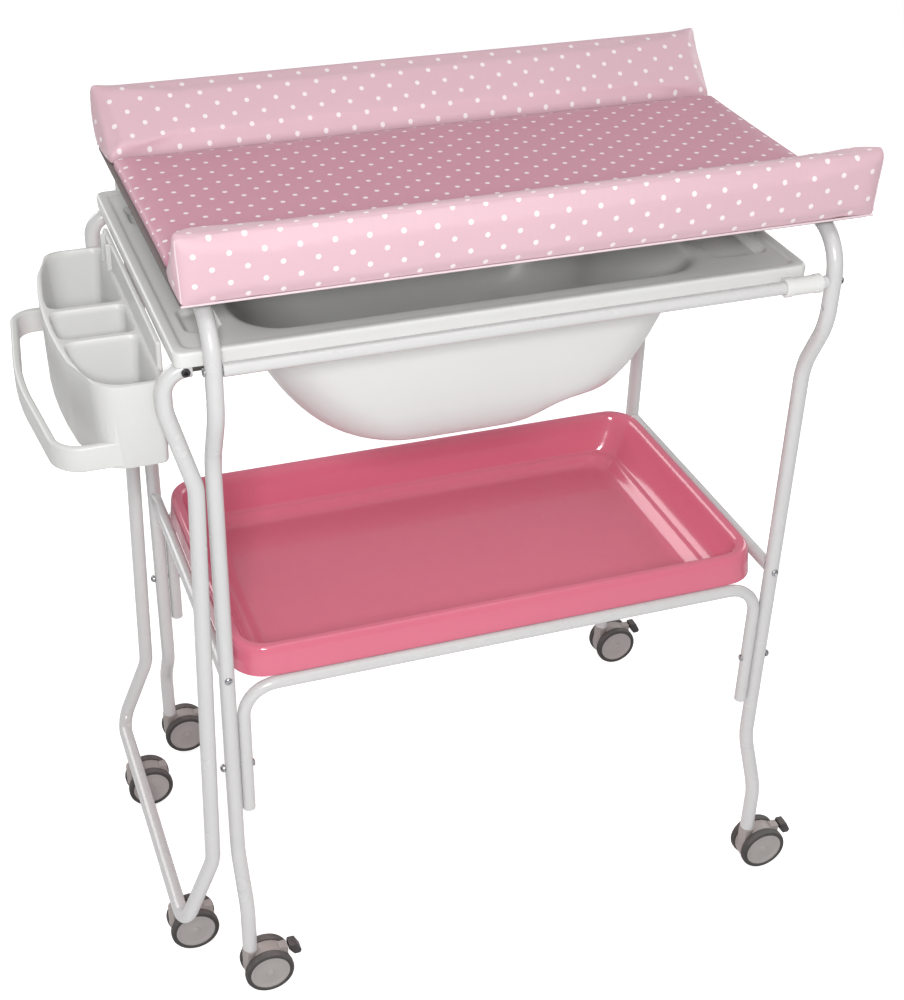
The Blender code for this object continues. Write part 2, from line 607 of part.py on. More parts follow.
def accessory_box():
    """Three open compartments in a bowed box, with a bow handle round its outer side."""
    inner_x = -LEG_X - FLANGE_OVERHANG - 0.0035
    back_y = BOX_FRONT_Y + BOX_LENGTH
    mid_y = (BOX_FRONT_Y + back_y) / 2
    floor_z = BOX_RIM_Z - BOX_HEIGHT

    def outline(inset, z):
        side_x = inner_x - BOX_DEPTH + inset
        corners = [(inner_x - inset, BOX_FRONT_Y + inset), (inner_x - inset, back_y - inset),
                   (side_x, back_y - inset), (side_x - BOX_BULGE, mid_y),
                   (side_x, BOX_FRONT_Y + inset)]
        radii = [0.005, 0.005, 0.022 - inset, 0.5, 0.032 - inset]
        return rounded_outline(corners, radii, z, 5)

    def solid(name, inset_low, low, inset_high, high):
        rings = [outline(inset_low, low), outline(inset_high, high)]
        return loft(name, rings, BATH_PLASTIC, cap_first=True)

    piece = solid("accessory_box", 0.003, floor_z, 0.0, BOX_RIM_Z)
    wall = BOX_WALL
    hollow = solid("hollow", wall + 0.003, floor_z + wall, wall, BOX_RIM_Z + 0.01)
    combine(piece, hollow, "DIFFERENCE")
    for y in (mid_y - 0.0615, mid_y + 0.0185):
        divider = block("divider", (inner_x - BOX_DEPTH - BOX_BULGE, y - wall / 2, floor_z + wall / 2),
                        (inner_x - wall / 2, y + wall / 2, BOX_RIM_Z - 0.004), BATH_PLASTIC)
        combine(divider, solid("trim", 0.004, floor_z, 0.001, BOX_RIM_Z), "INTERSECT")
        combine(piece, divider, "UNION")
    plate = block("plate", (inner_x - wall, BOX_FRONT_Y + 0.03, BOX_RIM_Z - 0.02),
                  (-LEG_X - FLANGE_OVERHANG - GAP, back_y - 0.02, BOX_PLATE_TOP), BATH_PLASTIC)
    combine(piece, plate, "UNION")
    handle_x = inner_x - BOX_DEPTH - HANDLE_REACH
    low_z = floor_z + 0.004
    route = [(inner_x - BOX_DEPTH + 0.012, back_y - HANDLE_THICKNESS, low_z),
             (handle_x, back_y - HANDLE_THICKNESS, low_z),
             (handle_x - BOX_BULGE + 0.010, mid_y, low_z),
             (handle_x, BOX_FRONT_Y + HANDLE_THICKNESS, low_z),
             (inner_x - BOX_DEPTH + 0.012, BOX_FRONT_Y + HANDLE_THICKNESS, low_z)]
    middle = fillet_path(route, [0.026, 0.45, 0.032])
    handle = prism("handle", ribbon(middle, HANDLE_THICKNESS), BATH_PLASTIC, (0, 0, 1),
                   HANDLE_HEIGHT)
    combine(piece, handle, "UNION")
    return piece


def ribbon(path, width):
    """The outline of a flat band of even width along a level path."""
    left, right = [], []
    for i, point in enumerate(path):
        ahead = path[min(i + 1, len(path) - 1)] - path[max(i - 1, 0)]
        side = Vector((-ahead.y, ahead.x, 0)).normalized() * width / 2
        left.append(point + side)
        right.append(point - side)
    return left + right[::-1]


carriage = (carriage_tube("front_carriage_tube", -1) + carriage_tube("rear_carriage_tube", 1)
            + [foot_loop(), slide_rod("front_slide_rod", -1), slide_rod("rear_slide_rod", 1),
               glide("front_glide", -1), glide("rear_glide", 1), bath_tub(),
               accessory_box()])
plug = drain_plug()


# ---------------------------------------------------------------- casters

def caster_housing(name, stem_top):
    """The web between the wheels with the stem's boss, the axle and the stem itself."""
    hub = Vector((CASTER_TRAIL, 0, WHEEL_RADIUS))
    half = Vector((0, WEB_WIDTH / 2, 0))
    piece = rod(name, WHEEL_RADIUS - 0.002, hub - half, hub + half, HOUSING_GREY, 24)
    stem = rod("stem", STEM_RADIUS, (0, 0, WHEEL_RADIUS + 0.0035), (0, 0, 2 * WHEEL_RADIUS + 0.0017),
               HOUSING_GREY, 14)
    combine(piece, stem, "UNION")
    if stem_top > LEG_BOTTOM_Z:
        pin = rod("pin", 0.005, (0, 0, WHEEL_RADIUS + 0.0045), (0, 0, stem_top - GAP), HOUSING_GREY, 10)
        combine(piece, pin, "UNION")
    lug = block("lug", (CASTER_TRAIL + 0.016, -0.006, WHEEL_RADIUS + 0.010),
                (CASTER_TRAIL + LEVER_HINGE[0] - 0.0022, 0.006, WHEEL_RADIUS + 0.027),
                HOUSING_GREY)
    combine(piece, lug, "UNION")
    below = block("below", (-0.05, -0.03, -0.01), (0.08, 0.03, 0.4 * WHEEL_RADIUS), ZINC)
    combine(piece, below, "DIFFERENCE")
    for side in (-1, 1):
        side_cut = block("side_cut", (-0.05, side * (WEB_WIDTH / 2 + 0.0001), 0),
                         (0.08, side * (WEB_WIDTH / 2 + 0.02), 2 * WHEEL_RADIUS - 0.001), ZINC)
        combine(piece, side_cut, "DIFFERENCE")
    reach = Vector((0, WEB_WIDTH / 2 + GAP + WHEEL_WIDTH - 0.003, 0))
    axle = rod("axle", AXLE_RADIUS, hub - reach, hub + reach, HOUSING_GREY, 10)
    combine(piece, axle, "UNION")
    return piece


def caster_wheel(name):
    """One wheel about its own Y axis, bored for the axle, with rounded tyre edges."""
    half = WHEEL_WIDTH / 2
    bore = AXLE_RADIUS + GAP
    edge = 0.003
    profile = [(bore, half), (WHEEL_RADIUS - edge, half), (WHEEL_RADIUS - 0.0008, half - 0.0012),
               (WHEEL_RADIUS, half - edge), (WHEEL_RADIUS, edge - half),
               (WHEEL_RADIUS - edge, -half), (bore, -half), (bore, half)]
    return turned(name, profile, (0, 0, 0), (0, 1, 0), TYRE_RUBBER, 24)


def brake_lever(name):
    """The tab behind the wheels, about a hinge line at its upper inner corner."""
    section = [(0.003, -0.009), (-0.001, -0.003), (0.0, 0.0045), (0.0095, 0.0045),
               (0.0165, -0.0095), (0.0145, -0.014), (0.0068, -0.014)]
    outline = [(x, -0.008, z) for x, z in section]
    return prism(name, outline, LEVER_PLASTIC, (0, 1, 0), 0.016)


stems = {
    "1": (-LEG_X, -FOOT_Y, LEG_BOTTOM_Z), "2": (LEG_X, -FOOT_Y, LEG_BOTTOM_Z),
    "3": (LEG_X, FOOT_Y, LEG_BOTTOM_Z), "4": (-LEG_X, FOOT_Y, LEG_BOTTOM_Z),
    "5": (LOOP_X, -LOOP_CASTER_Y, LOOP_Z - CARRIAGE_RADIUS),
    "6": (LOOP_X, LOOP_CASTER_Y, LOOP_Z - CARRIAGE_RADIUS),
}
BRAKED = ("1", "2", "3", "4")
root = bpy.data.objects.new("table_origin", None)
table.objects.link(root)

housing_meshes = {}
wheel_mesh = None
lever_mesh = None
for number, (x, y, top) in stems.items():
    prefix = "caster_" + number
    swivel = bpy.data.objects.new(prefix + "_swivel_axis", None)
    swivel.location = (x, y, 0)
    swivel.parent = root
    table.objects.link(swivel)
    if top in housing_meshes:
        housing = object_from(prefix + "_housing", housing_meshes[top], HOUSING_GREY)
    else:
        housing = caster_housing(prefix + "_housing", top)
        housing_meshes[top] = housing.data
    housing.parent = swivel
    for side_name, side in (("front", -1), ("rear", 1)):
        name = prefix + "_" + side_name + "_wheel"
        if wheel_mesh is None:
            wheel = caster_wheel(name)
            wheel_mesh = wheel.data
        else:
            wheel = object_from(name, wheel_mesh, TYRE_RUBBER)
        offset = WEB_WIDTH / 2 + GAP + WHEEL_WIDTH / 2
        wheel.location = (CASTER_TRAIL, side * offset, WHEEL_RADIUS)
        wheel.parent = swivel
    if number in BRAKED:
        if lever_mesh is None:
            lever = brake_lever(prefix + "_lever")
            lever_mesh = lever.data
        else:
            lever = object_from(prefix + "_lever", lever_mesh, LEVER_PLASTIC)
        lever.location = (CASTER_TRAIL + LEVER_HINGE[0], 0, WHEEL_RADIUS + LEVER_HINGE[1])
        lever.parent = swivel

for piece in main_frame + [tray] + changing_top + carriage + [plug]:
    piece.parent = root

# The table's origin lies on the floor, under the middle of its outer box.
bpy.context.view_layer.update()
reach = [(piece.matrix_world @ Vector(corner)).x
         for piece in table.objects if piece.type == "MESH" for corner in piece.bound_box]
root.location.x = -(min(reach) + max(reach)) / 2
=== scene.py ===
"""Looks of the changing table with its slide-out bath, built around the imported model."""
import bmesh
import bpy
import math
from mathutils import Matrix, Vector


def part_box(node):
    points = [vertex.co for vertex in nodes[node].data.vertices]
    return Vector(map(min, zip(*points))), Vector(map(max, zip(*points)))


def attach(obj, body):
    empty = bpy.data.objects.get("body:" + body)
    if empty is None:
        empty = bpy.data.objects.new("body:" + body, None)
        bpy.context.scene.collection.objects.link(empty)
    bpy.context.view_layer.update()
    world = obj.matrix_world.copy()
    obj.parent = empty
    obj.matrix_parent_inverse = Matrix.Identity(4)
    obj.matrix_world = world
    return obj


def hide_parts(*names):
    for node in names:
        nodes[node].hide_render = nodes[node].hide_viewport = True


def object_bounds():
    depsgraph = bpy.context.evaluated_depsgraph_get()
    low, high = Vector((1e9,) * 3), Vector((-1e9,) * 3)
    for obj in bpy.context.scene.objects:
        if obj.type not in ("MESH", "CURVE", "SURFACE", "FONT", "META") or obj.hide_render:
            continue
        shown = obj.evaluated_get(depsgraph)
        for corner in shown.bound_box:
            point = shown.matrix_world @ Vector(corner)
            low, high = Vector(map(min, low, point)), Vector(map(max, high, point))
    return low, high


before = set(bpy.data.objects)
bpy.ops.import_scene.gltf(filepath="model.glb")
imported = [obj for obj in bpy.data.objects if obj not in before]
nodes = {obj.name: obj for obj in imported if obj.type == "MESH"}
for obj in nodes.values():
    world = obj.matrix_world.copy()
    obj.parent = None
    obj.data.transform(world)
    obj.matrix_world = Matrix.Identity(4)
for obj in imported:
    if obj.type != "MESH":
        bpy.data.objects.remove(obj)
cad_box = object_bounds()
bpy.ops.object.select_all(action="DESELECT")

# ---- Leg frames -------------------------------------------------------------------
# Two lengths of 19 mm steel tube, bent cold into an inverted U with a shoulder and an
# S-bend at each foot, then coated in thick white gloss enamel after drilling.

left_frame, right_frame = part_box("left_leg_frame"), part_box("right_leg_frame")
leg_radius = (left_frame[1].x - left_frame[0].x) / 2
left_x = left_frame[0].x + leg_radius
right_x = right_frame[1].x - leg_radius
foot_y = left_frame[1].y - leg_radius
leg_bottom = left_frame[0].z
top_bar_z = left_frame[1].z - leg_radius
leg_y = (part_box("front_tray_rail")[0].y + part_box("front_tray_rail")[1].y) / -2
shoulder_y = (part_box("front_rail")[0].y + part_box("front_rail")[1].y) / -2


def edit(piece):
    """Open one piece in edit mode with nothing else selected."""
    if bpy.context.object and bpy.context.object.mode == "EDIT":
        bpy.ops.object.mode_set(mode="OBJECT")
    bpy.ops.object.select_all(action="DESELECT")
    bpy.context.view_layer.objects.active = piece
    piece.select_set(True)
    bpy.ops.object.mode_set(mode="EDIT")
    bpy.ops.mesh.select_mode(type="VERT")


def select(test, kind="verts"):
    """Select the vertices, edges or faces that pass a test, in the piece being edited."""
    mesh = bpy.context.object.data
    bpy.ops.mesh.select_mode(type={"verts": "VERT", "edges": "EDGE", "faces": "FACE"}[kind])
    bpy.ops.mesh.select_all(action="DESELECT")
    shape = bmesh.from_edit_mesh(mesh)
    for item in getattr(shape, kind):
        item.select_set(test(item))
    shape.select_flush_mode()
    bmesh.update_edit_mesh(mesh)


def finish_mesh(name, smooth=32):
    """Close the edit, weld doubles, face outwards, place at the origin and shade smooth."""
    if bpy.context.object.mode == "EDIT":
        bpy.ops.object.mode_set(mode="OBJECT")
    piece = bpy.context.object
    piece.name = piece.data.name = name
    bpy.ops.object.select_all(action="DESELECT")
    piece.select_set(True)
    bpy.ops.object.transform_apply(location=True, rotation=True, scale=True)
    edit(piece)
    bpy.ops.mesh.select_all(action="SELECT")
    bpy.ops.mesh.remove_doubles(threshold=0.00001)
    bpy.ops.mesh.normals_make_consistent(inside=False)
    bpy.ops.object.mode_set(mode="OBJECT")
    bpy.ops.object.shade_smooth_by_angle(angle=math.radians(smooth))
    return piece


def drawn(points):
    """Draw a line of edges from point to point, and leave it open in edit mode."""
    bpy.ops.mesh.primitive_plane_add(size=0.001, location=points[0])
    bpy.ops.object.transform_apply(location=True)
    piece = bpy.context.object
    edit(piece)
    bpy.ops.mesh.select_all(action="SELECT")
    bpy.ops.mesh.merge(type="CENTER")
    for here, following in zip(points, points[1:]):
        bpy.ops.mesh.extrude_region_move(TRANSFORM_OT_translate={"value": following - here})
    return piece


def round_corners(points, bends, segments=None):
    """Round each inner corner of the drawn line to its bend radius."""
    for before, corner, after, bend in zip(points, points[1:], points[2:], bends):
        turn = (corner - before).angle(after - corner)
        select(lambda vert: (vert.co - corner).length < 1e-5)
        bpy.ops.mesh.bevel(offset=bend * math.tan(turn / 2),
                           segments=segments or max(4, round(turn * 9)),
                           profile=0.5, affect="VERTICES")


def bent_tube(name, corners, bends, radius):
    """A tube drawn from corner to corner; each corner is rounded, then it gets its wall."""
    corners = [Vector(corner) for corner in corners]
    drawn(corners)
    round_corners(corners, bends)
    bpy.ops.object.mode_set(mode="OBJECT")
    bpy.ops.object.convert(target="CURVE")
    curve = bpy.context.object.data
    curve.bevel_depth = radius
    curve.bevel_resolution = 7
    curve.fill_mode = "FULL"
    curve.use_fill_caps = True
    bpy.ops.object.convert(target="MESH")
    return finish_mesh(name)


def drilled(piece, start, end, radius):
    """A round hole from start to end."""
    line = Vector(end) - Vector(start)
    bpy.ops.mesh.primitive_cylinder_add(vertices=24, radius=radius, depth=line.length,
                                        location=(Vector(start) + Vector(end)) / 2,
                                        rotation=line.to_track_quat("Z", "Y").to_euler())
    bit = bpy.context.object
    cut = piece.modifiers.new("hole", "BOOLEAN")
    cut.object = bit
    cut.solver = "EXACT"
    bpy.context.view_layer.objects.active = piece
    bpy.ops.object.modifier_apply(modifier="hole")
    bpy.data.objects.remove(bit, do_unlink=True)


def node_group(name, inputs, outputs):
    """An empty shader group with the given float, colour and vector sockets."""
    group = bpy.data.node_groups.new(name, "ShaderNodeTree")
    for label, kind, value in inputs:
        made = group.interface.new_socket(label, in_out="INPUT", socket_type=kind)
        if value is not None:
            made.default_value = value
    for label, kind in outputs:
        group.interface.new_socket(label, in_out="OUTPUT", socket_type=kind)
    return group, group.nodes.new("NodeGroupInput"), group.nodes.new("NodeGroupOutput")


def wire(tree, *pairs):
    """Join sockets in a tree, two by two."""
    for source, target in pairs:
        tree.links.new(source, target)


def noise(tree, vector, scale, detail=3.0, rough=0.55):
    """A noise texture; returns its value socket."""
    made = tree.nodes.new("ShaderNodeTexNoise")
    made.inputs["Detail"].default_value = detail
    made.inputs["Roughness"].default_value = rough
    if isinstance(scale, (int, float)):
        made.inputs["Scale"].default_value = scale
    else:
        tree.links.new(scale, made.inputs["Scale"])
    tree.links.new(vector, made.inputs["Vector"])
    return made.outputs["Fac"]


def use_group(tree, group, **values):
    """A node group placed in a tree, with some of its inputs set."""
    made = tree.nodes.new("ShaderNodeGroup")
    made.node_tree = group
    for label, value in values.items():
        made.inputs[label.replace("_", " ")].default_value = value
    return made


def math_node(tree, operation, *values):
    """A math node fed by sockets or numbers; returns its value socket."""
    made = tree.nodes.new("ShaderNodeMath")
    made.operation = operation
    for socket, value in zip(made.inputs, values):
        if isinstance(value, (int, float)):
            socket.default_value = value
        else:
            tree.links.new(value, socket)
    return made.outputs["Value"]


def blend_colour(tree, factor, first, second, mode="MIX"):
    """A colour mix fed by sockets or colours; returns its colour socket."""
    made = tree.nodes.new("ShaderNodeMix")
    made.data_type = "RGBA"
    made.blend_type = mode
    for socket, value in ((made.inputs["Factor"], factor), (made.inputs["A"], first),
                          (made.inputs["B"], second)):
        if isinstance(value, (int, float)):
            socket.default_value = value
        elif isinstance(value, (tuple, list)):
            socket.default_value = (*value[:3], 1.0)
        else:
            tree.links.new(value, socket)
    return made.outputs["Result"]


# Handling marks: a slow drift of tone, a fine film of dust on what faces up, and edges
# rubbed a little lighter or darker. Every hard finish of the table goes through it.
marks, marks_in, marks_out = node_group(
    "handling_marks",
    [("Place", "NodeSocketVector", None), ("Colour", "NodeSocketColor", (0.8, 0.8, 0.8, 1)),
     ("Drift", "NodeSocketFloat", 0.03), ("Dust", "NodeSocketFloat", 0.05),
     ("Dust colour", "NodeSocketColor", (0.62, 0.57, 0.53, 1)),
     ("Rub", "NodeSocketFloat", 0.1), ("Rub colour", "NodeSocketColor", (0.9, 0.9, 0.9, 1))],
    [("Colour", "NodeSocketColor"), ("Dust", "NodeSocketFloat")])
slow = noise(marks, marks_in.outputs["Place"], 7.0, 4.0)
tone = math_node(marks, "MULTIPLY_ADD", math_node(marks, "SUBTRACT", slow, 0.5),
                 marks_in.outputs["Drift"], 1.0)
tone_colour = marks.nodes.new("ShaderNodeCombineColor")
wire(marks, (tone, tone_colour.inputs["Red"]),
     (math_node(marks, "MULTIPLY_ADD", tone, 1.04, -0.04), tone_colour.inputs["Green"]),
     (math_node(marks, "MULTIPLY_ADD", tone, 1.07, -0.07), tone_colour.inputs["Blue"]))
toned = blend_colour(marks, 1.0, marks_in.outputs["Colour"], tone_colour.outputs["Color"],
                     "MULTIPLY")
surface = marks.nodes.new("ShaderNodeNewGeometry")
upward = marks.nodes.new("ShaderNodeSeparateXYZ")
wire(marks, (surface.outputs["Normal"], upward.inputs["Vector"]))
facing_up = math_node(marks, "MAXIMUM", upward.outputs["Z"], 0.0)
speckle = noise(marks, marks_in.outputs["Place"], 60.0, 5.0, 0.7)
dusty = math_node(marks, "MULTIPLY", math_node(marks, "MULTIPLY", facing_up, speckle),
                  marks_in.outputs["Dust"])
dusted = blend_colour(marks, dusty, toned, marks_in.outputs["Dust colour"])
ridge = marks.nodes.new("ShaderNodeMapRange")
wire(marks, (surface.outputs["Pointiness"], ridge.inputs["Value"]))
ridge.inputs["From Min"].default_value = 0.52
ridge.inputs["From Max"].default_value = 0.60
worn = math_node(marks, "MULTIPLY",
                 math_node(marks, "MULTIPLY", ridge.outputs["Result"], speckle),
                 marks_in.outputs["Rub"])
wire(marks, (blend_colour(marks, worn, dusted, marks_in.outputs["Rub colour"]),
             marks_out.inputs["Colour"]), (dusty, marks_out.inputs["Dust"]))

# Skin: the fine unevenness of a coated or moulded surface, as height and as gloss.
skin, skin_in, skin_out = node_group(
    "skin_texture",
    [("Place", "NodeSocketVector", None), ("Grain size", "NodeSocketFloat", 400.0),
     ("Wave size", "NodeSocketFloat", 40.0), ("Wave", "NodeSocketFloat", 0.5),
     ("Gloss", "NodeSocketFloat", 0.3), ("Gloss spread", "NodeSocketFloat", 0.08)],
    [("Height", "NodeSocketFloat"), ("Roughness", "NodeSocketFloat")])
grain = noise(skin, skin_in.outputs["Place"], skin_in.outputs["Grain size"], 2.0)
wave = noise(skin, skin_in.outputs["Place"], skin_in.outputs["Wave size"], 2.0)
height = math_node(skin, "MULTIPLY_ADD", wave, skin_in.outputs["Wave"], grain)
patch = noise(skin, skin_in.outputs["Place"], 18.0, 4.0, 0.65)
gloss = math_node(skin, "MULTIPLY_ADD", math_node(skin, "SUBTRACT", patch, 0.5),
                  skin_in.outputs["Gloss spread"], skin_in.outputs["Gloss"])
wire(skin, (height, skin_out.inputs["Height"]), (gloss, skin_out.inputs["Roughness"]))


def hard_finish(name, colour, gloss, spread=0.1, grain=450.0, wave=0.5, wave_size=40.0,
                relief=0.00006, drift=0.05, dust=0.06, rub=0.15, rub_colour=None,
                metallic=0.0, coat=0.0, coat_gloss=0.08, scatter=0.0):
    """A hard material from the two groups: its colour with marks, its skin as bump."""
    made = bpy.data.materials.new(name)
    made.use_nodes = True
    tree = made.node_tree
    shader = tree.nodes["Principled BSDF"]
    place = tree.nodes.new("ShaderNodeTexCoord").outputs["Object"]
    lighter = rub_colour or tuple(min(1.0, channel * 1.15 + 0.03) for channel in colour)
    marked = use_group(tree, marks, Colour=(*colour, 1.0), Drift=drift, Dust=dust, Rub=rub,
                       Rub_colour=(*lighter, 1.0))
    textured = use_group(tree, skin, Grain_size=grain, Wave=wave, Wave_size=wave_size,
                         Gloss=gloss, Gloss_spread=spread)
    bump = tree.nodes.new("ShaderNodeBump")
    bump.inputs["Strength"].default_value = 1.0
    bump.inputs["Distance"].default_value = relief
    roughness = math_node(tree, "MULTIPLY_ADD", marked.outputs["Dust"], 0.6,
                          textured.outputs["Roughness"])
    wire(tree, (place, marked.inputs["Place"]), (place, textured.inputs["Place"]),
         (marked.outputs["Colour"], shader.inputs["Base Color"]),
         (roughness, shader.inputs["Roughness"]),
         (textured.outputs["Height"], bump.inputs["Height"]),
         (bump.outputs["Normal"], shader.inputs["Normal"]))
    shader.inputs["Metallic"].default_value = metallic
    shader.inputs["Coat Weight"].default_value = coat
    shader.inputs["Coat Roughness"].default_value = coat_gloss
    shader.inputs["Subsurface Weight"].default_value = scatter
    shader.inputs["Subsurface Radius"].default_value = (0.004, 0.003, 0.003)
    return made


def dress(piece, material):
    """Give a piece one material."""
    piece.data.materials.clear()
    piece.data.materials.append(material)


def stand_for(piece, node, body):
    """A finished piece takes the place of a CAD node, on its body."""
    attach(piece, body)
    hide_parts(node)


enamel = hard_finish("white_enamel", (0.60, 0.595, 0.595), 0.26, 0.10, grain=700.0, wave=1.4,
                     wave_size=90.0, relief=0.00005, drift=0.04, dust=0.05, rub=0.1,
                     coat=0.35, coat_gloss=0.12)

shoulder_top, shoulder_low = top_bar_z - 0.114, top_bar_z - 0.184
foot_bend_high, foot_bend_low = 0.203, 0.140
top_bend, shoulder_bend, foot_bend = 0.055, 0.08, 0.05
spare_hole_z = top_bar_z - 0.092
hole_radius = 0.0029

for name, x in (("left_leg_frame", left_x), ("right_leg_frame", right_x)):
    half = [(foot_y, leg_bottom), (foot_y, foot_bend_low), (leg_y, foot_bend_high),
            (leg_y, shoulder_low), (shoulder_y, shoulder_top), (shoulder_y, top_bar_z)]
    bends = [foot_bend, foot_bend, shoulder_bend, shoulder_bend, top_bend]
    corners = [(x, -y, z) for y, z in half] + [(x, y, z) for y, z in reversed(half)]
    leg = bent_tube(name + "_tube", corners, bends + bends[::-1], leg_radius)
    for y in (-shoulder_y, shoulder_y):
        drilled(leg, (x - leg_radius - 0.002, y, spare_hole_z),
                (x + leg_radius + 0.002, y, spare_hole_z), hole_radius)
    dress(leg, enamel)
    stand_for(leg, name, "main_frame")

# ---- Rails and side bars ----------------------------------------------------------
# Straight and U-bent tubes of 15 and 16 mm in the same enamel. The tray's rails are cut
# square at their lower ends and closed with a pressed-in white plug.

rail_low, rail_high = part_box("front_rail")
rail_radius = (rail_high.z - rail_low.z) / 2
rail_z = rail_high.z - rail_radius
for name, y in (("front_rail", -shoulder_y), ("rear_rail", shoulder_y)):
    rail = bent_tube(name + "_tube", [(rail_low.x, y, rail_z), (rail_high.x, y, rail_z)], [],
                     rail_radius)
    dress(rail, enamel)
    stand_for(rail, name, "main_frame")

for name in ("left_side_bar", "right_side_bar"):
    low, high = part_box(name)
    x, z = (low.x + high.x) / 2, (low.z + high.z) / 2
    bar = bent_tube(name + "_tube", [(x, low.y, z), (x, high.y, z)], [], (high.x - low.x) / 2)
    dress(bar, enamel)
    stand_for(bar, name, "main_frame")

plug_plastic = hard_finish("tube_plug_plastic", (0.74, 0.74, 0.72), 0.42, relief=0.00008)
tray_rail_bend = 0.042
for name in ("front_tray_rail", "rear_tray_rail"):
    low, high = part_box(name)
    y, radius = (low.y + high.y) / 2, (high.y - low.y) / 2
    left, right, top = low.x + radius, high.x - radius, high.z - radius
    corners = [(left, y, low.z + 0.001), (left, y, top), (right, y, top),
               (right, y, low.z + 0.001)]
    rail = bent_tube(name + "_tube", corners, [tray_rail_bend] * 2, radius)
    dress(rail, enamel)
    stand_for(rail, name, "main_frame")
    for end, x in (("left", left), ("right", right)):
        bpy.ops.mesh.primitive_uv_sphere_add(segments=32, ring_count=16, radius=radius * 0.93,
                                             location=(x, y, low.z + 0.0018))
        bpy.ops.transform.resize(value=(1, 1, 0.24))
        cap = finish_mesh(name + "_" + end + "_plug")
        dress(cap, plug_plastic)
        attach(cap, "main_frame")

# ---- Storage tray -----------------------------------------------------------------
# One thin sheet of rose-pink plastic, drawn into a mould: a turned-down skirt, a rounded
# rim, walls with a step half way down, and a flat floor. It lies on its two rails.


def rounded_ring(left, right, front, back, radius, z, arc_points=7, side_points=5):
    """Points round a rectangle with rounded corners, its sides divided evenly."""
    centres = [(right - radius, back - radius, 0), (left + radius, back - radius, 90),
               (left + radius, front + radius, 180), (right - radius, front + radius, 270)]
    arcs = []
    for x, y, start in centres:
        angles = [math.radians(start + 90 * i / (arc_points - 1)) for i in range(arc_points)]
        arcs.append([Vector((x + radius * math.cos(a), y + radius * math.sin(a), z))
                     for a in angles])
    points = []
    for arc, following in zip(arcs, arcs[1:] + arcs[:1]):
        points += arc
        points += [arc[-1].lerp(following[0], (i + 1) / (side_points + 1))
                   for i in range(side_points)]
    return points


def placed(name, mesh):
    """A new piece with this mesh, in the scene."""
    mesh.name = name
    piece = bpy.data.objects.new(name, mesh)
    bpy.context.scene.collection.objects.link(piece)
    return piece


def lofted(name, rings, solid):
    """Faces through rings of points, closed at the last ring, and at the first if solid."""
    shape = bmesh.new()
    rows = [[shape.verts.new(point) for point in ring] for ring in rings]
    for row, following in zip(rows, rows[1:]):
        for i, vert in enumerate(row):
            k = (i + 1) % len(row)
            shape.faces.new((vert, row[k], following[k], following[i]))
    shape.faces.new(rows[-1])
    if solid:
        shape.faces.new(reversed(rows[0]))
        bmesh.ops.recalc_face_normals(shape, faces=shape.faces)
    mesh = bpy.data.meshes.new(name)
    shape.to_mesh(mesh)
    shape.free()
    return placed(name, mesh)


def moulded_skin(name, rings):
    """A skin through rings of points, closed by a small face in the last ring's middle."""
    middle = sum(rings[-1], Vector()) / len(rings[-1])
    return lofted(name, rings + [[point.lerp(middle, share) for point in rings[-1]]
                                 for share in (0.3, 0.6, 0.9)], solid=False)


def apply_modifier(piece, kind, **settings):
    """Add one modifier and apply it at once."""
    bpy.ops.object.select_all(action="DESELECT")
    bpy.context.view_layer.objects.active = piece
    piece.select_set(True)
    step = piece.modifiers.new("step", kind)
    for key, value in settings.items():
        setattr(step, key, value)
    bpy.ops.object.modifier_apply(modifier="step")


tray_low, tray_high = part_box("storage_tray")
tray_wall, tray_depth, rail_gap = 0.0028, 0.067, 0.0003
rim_z = tray_high.z
skirt_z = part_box("front_tray_rail")[1].z + rail_gap
tray_floor = rim_z - tray_depth
# inset from the skirt at the ends and at the sides, height, corner radius
tray_rows = [
    (0.0000, 0.0000, skirt_z, 0.045), (0.0002, 0.0006, skirt_z + 0.003, 0.045),
    (0.0018, 0.0050, rim_z - 0.009, 0.044), (0.0032, 0.0070, rim_z - 0.003, 0.043),
    (0.0060, 0.0098, rim_z - 0.0002, 0.040), (0.0100, 0.0140, rim_z, 0.038),
    (0.0145, 0.0185, rim_z - 0.001, 0.036), (0.0180, 0.0215, rim_z - 0.005, 0.034),
    (0.0235, 0.0255, rim_z - 0.021, 0.034), (0.0262, 0.0275, rim_z - 0.0265, 0.034),
    (0.0330, 0.0318, tray_floor + 0.0260, 0.034), (0.0390, 0.0335, tray_floor + 0.0185, 0.034),
    (0.0410, 0.0345, tray_floor + 0.0165, 0.034), (0.0460, 0.0385, tray_floor + 0.0150, 0.034),
    (0.0490, 0.0412, tray_floor + 0.0120, 0.033), (0.0560, 0.0440, tray_floor + 0.0045, 0.032),
    (0.0640, 0.0500, tray_floor + 0.0006, 0.030), (0.0760, 0.0580, tray_floor, 0.026)]
tray = moulded_skin("storage_tray_moulding", [
    rounded_ring(tray_low.x + end, tray_high.x - end, tray_low.y + side, tray_high.y - side,
                 radius, z) for end, side, z, radius in tray_rows])
apply_modifier(tray, "SUBSURF", levels=2, render_levels=2)
apply_modifier(tray, "SOLIDIFY", thickness=tray_wall, offset=-1.0, use_even_offset=True)
apply_modifier(tray, "BEVEL", width=0.0006, segments=2, limit_method="ANGLE",
               angle_limit=math.radians(50))
bpy.ops.object.shade_smooth_by_angle(angle=math.radians(40))
rose_plastic = hard_finish("rose_plastic", (0.66, 0.150, 0.228), 0.15, 0.07, grain=260.0,
                           wave=1.6, wave_size=22.0, relief=0.00008, drift=0.05, dust=0.05,
                           rub=0.12, rub_colour=(0.80, 0.30, 0.38), coat=0.25,
                           coat_gloss=0.06, scatter=0.04)
dress(tray, rose_plastic)
stand_for(tray, "storage_tray", "tray")

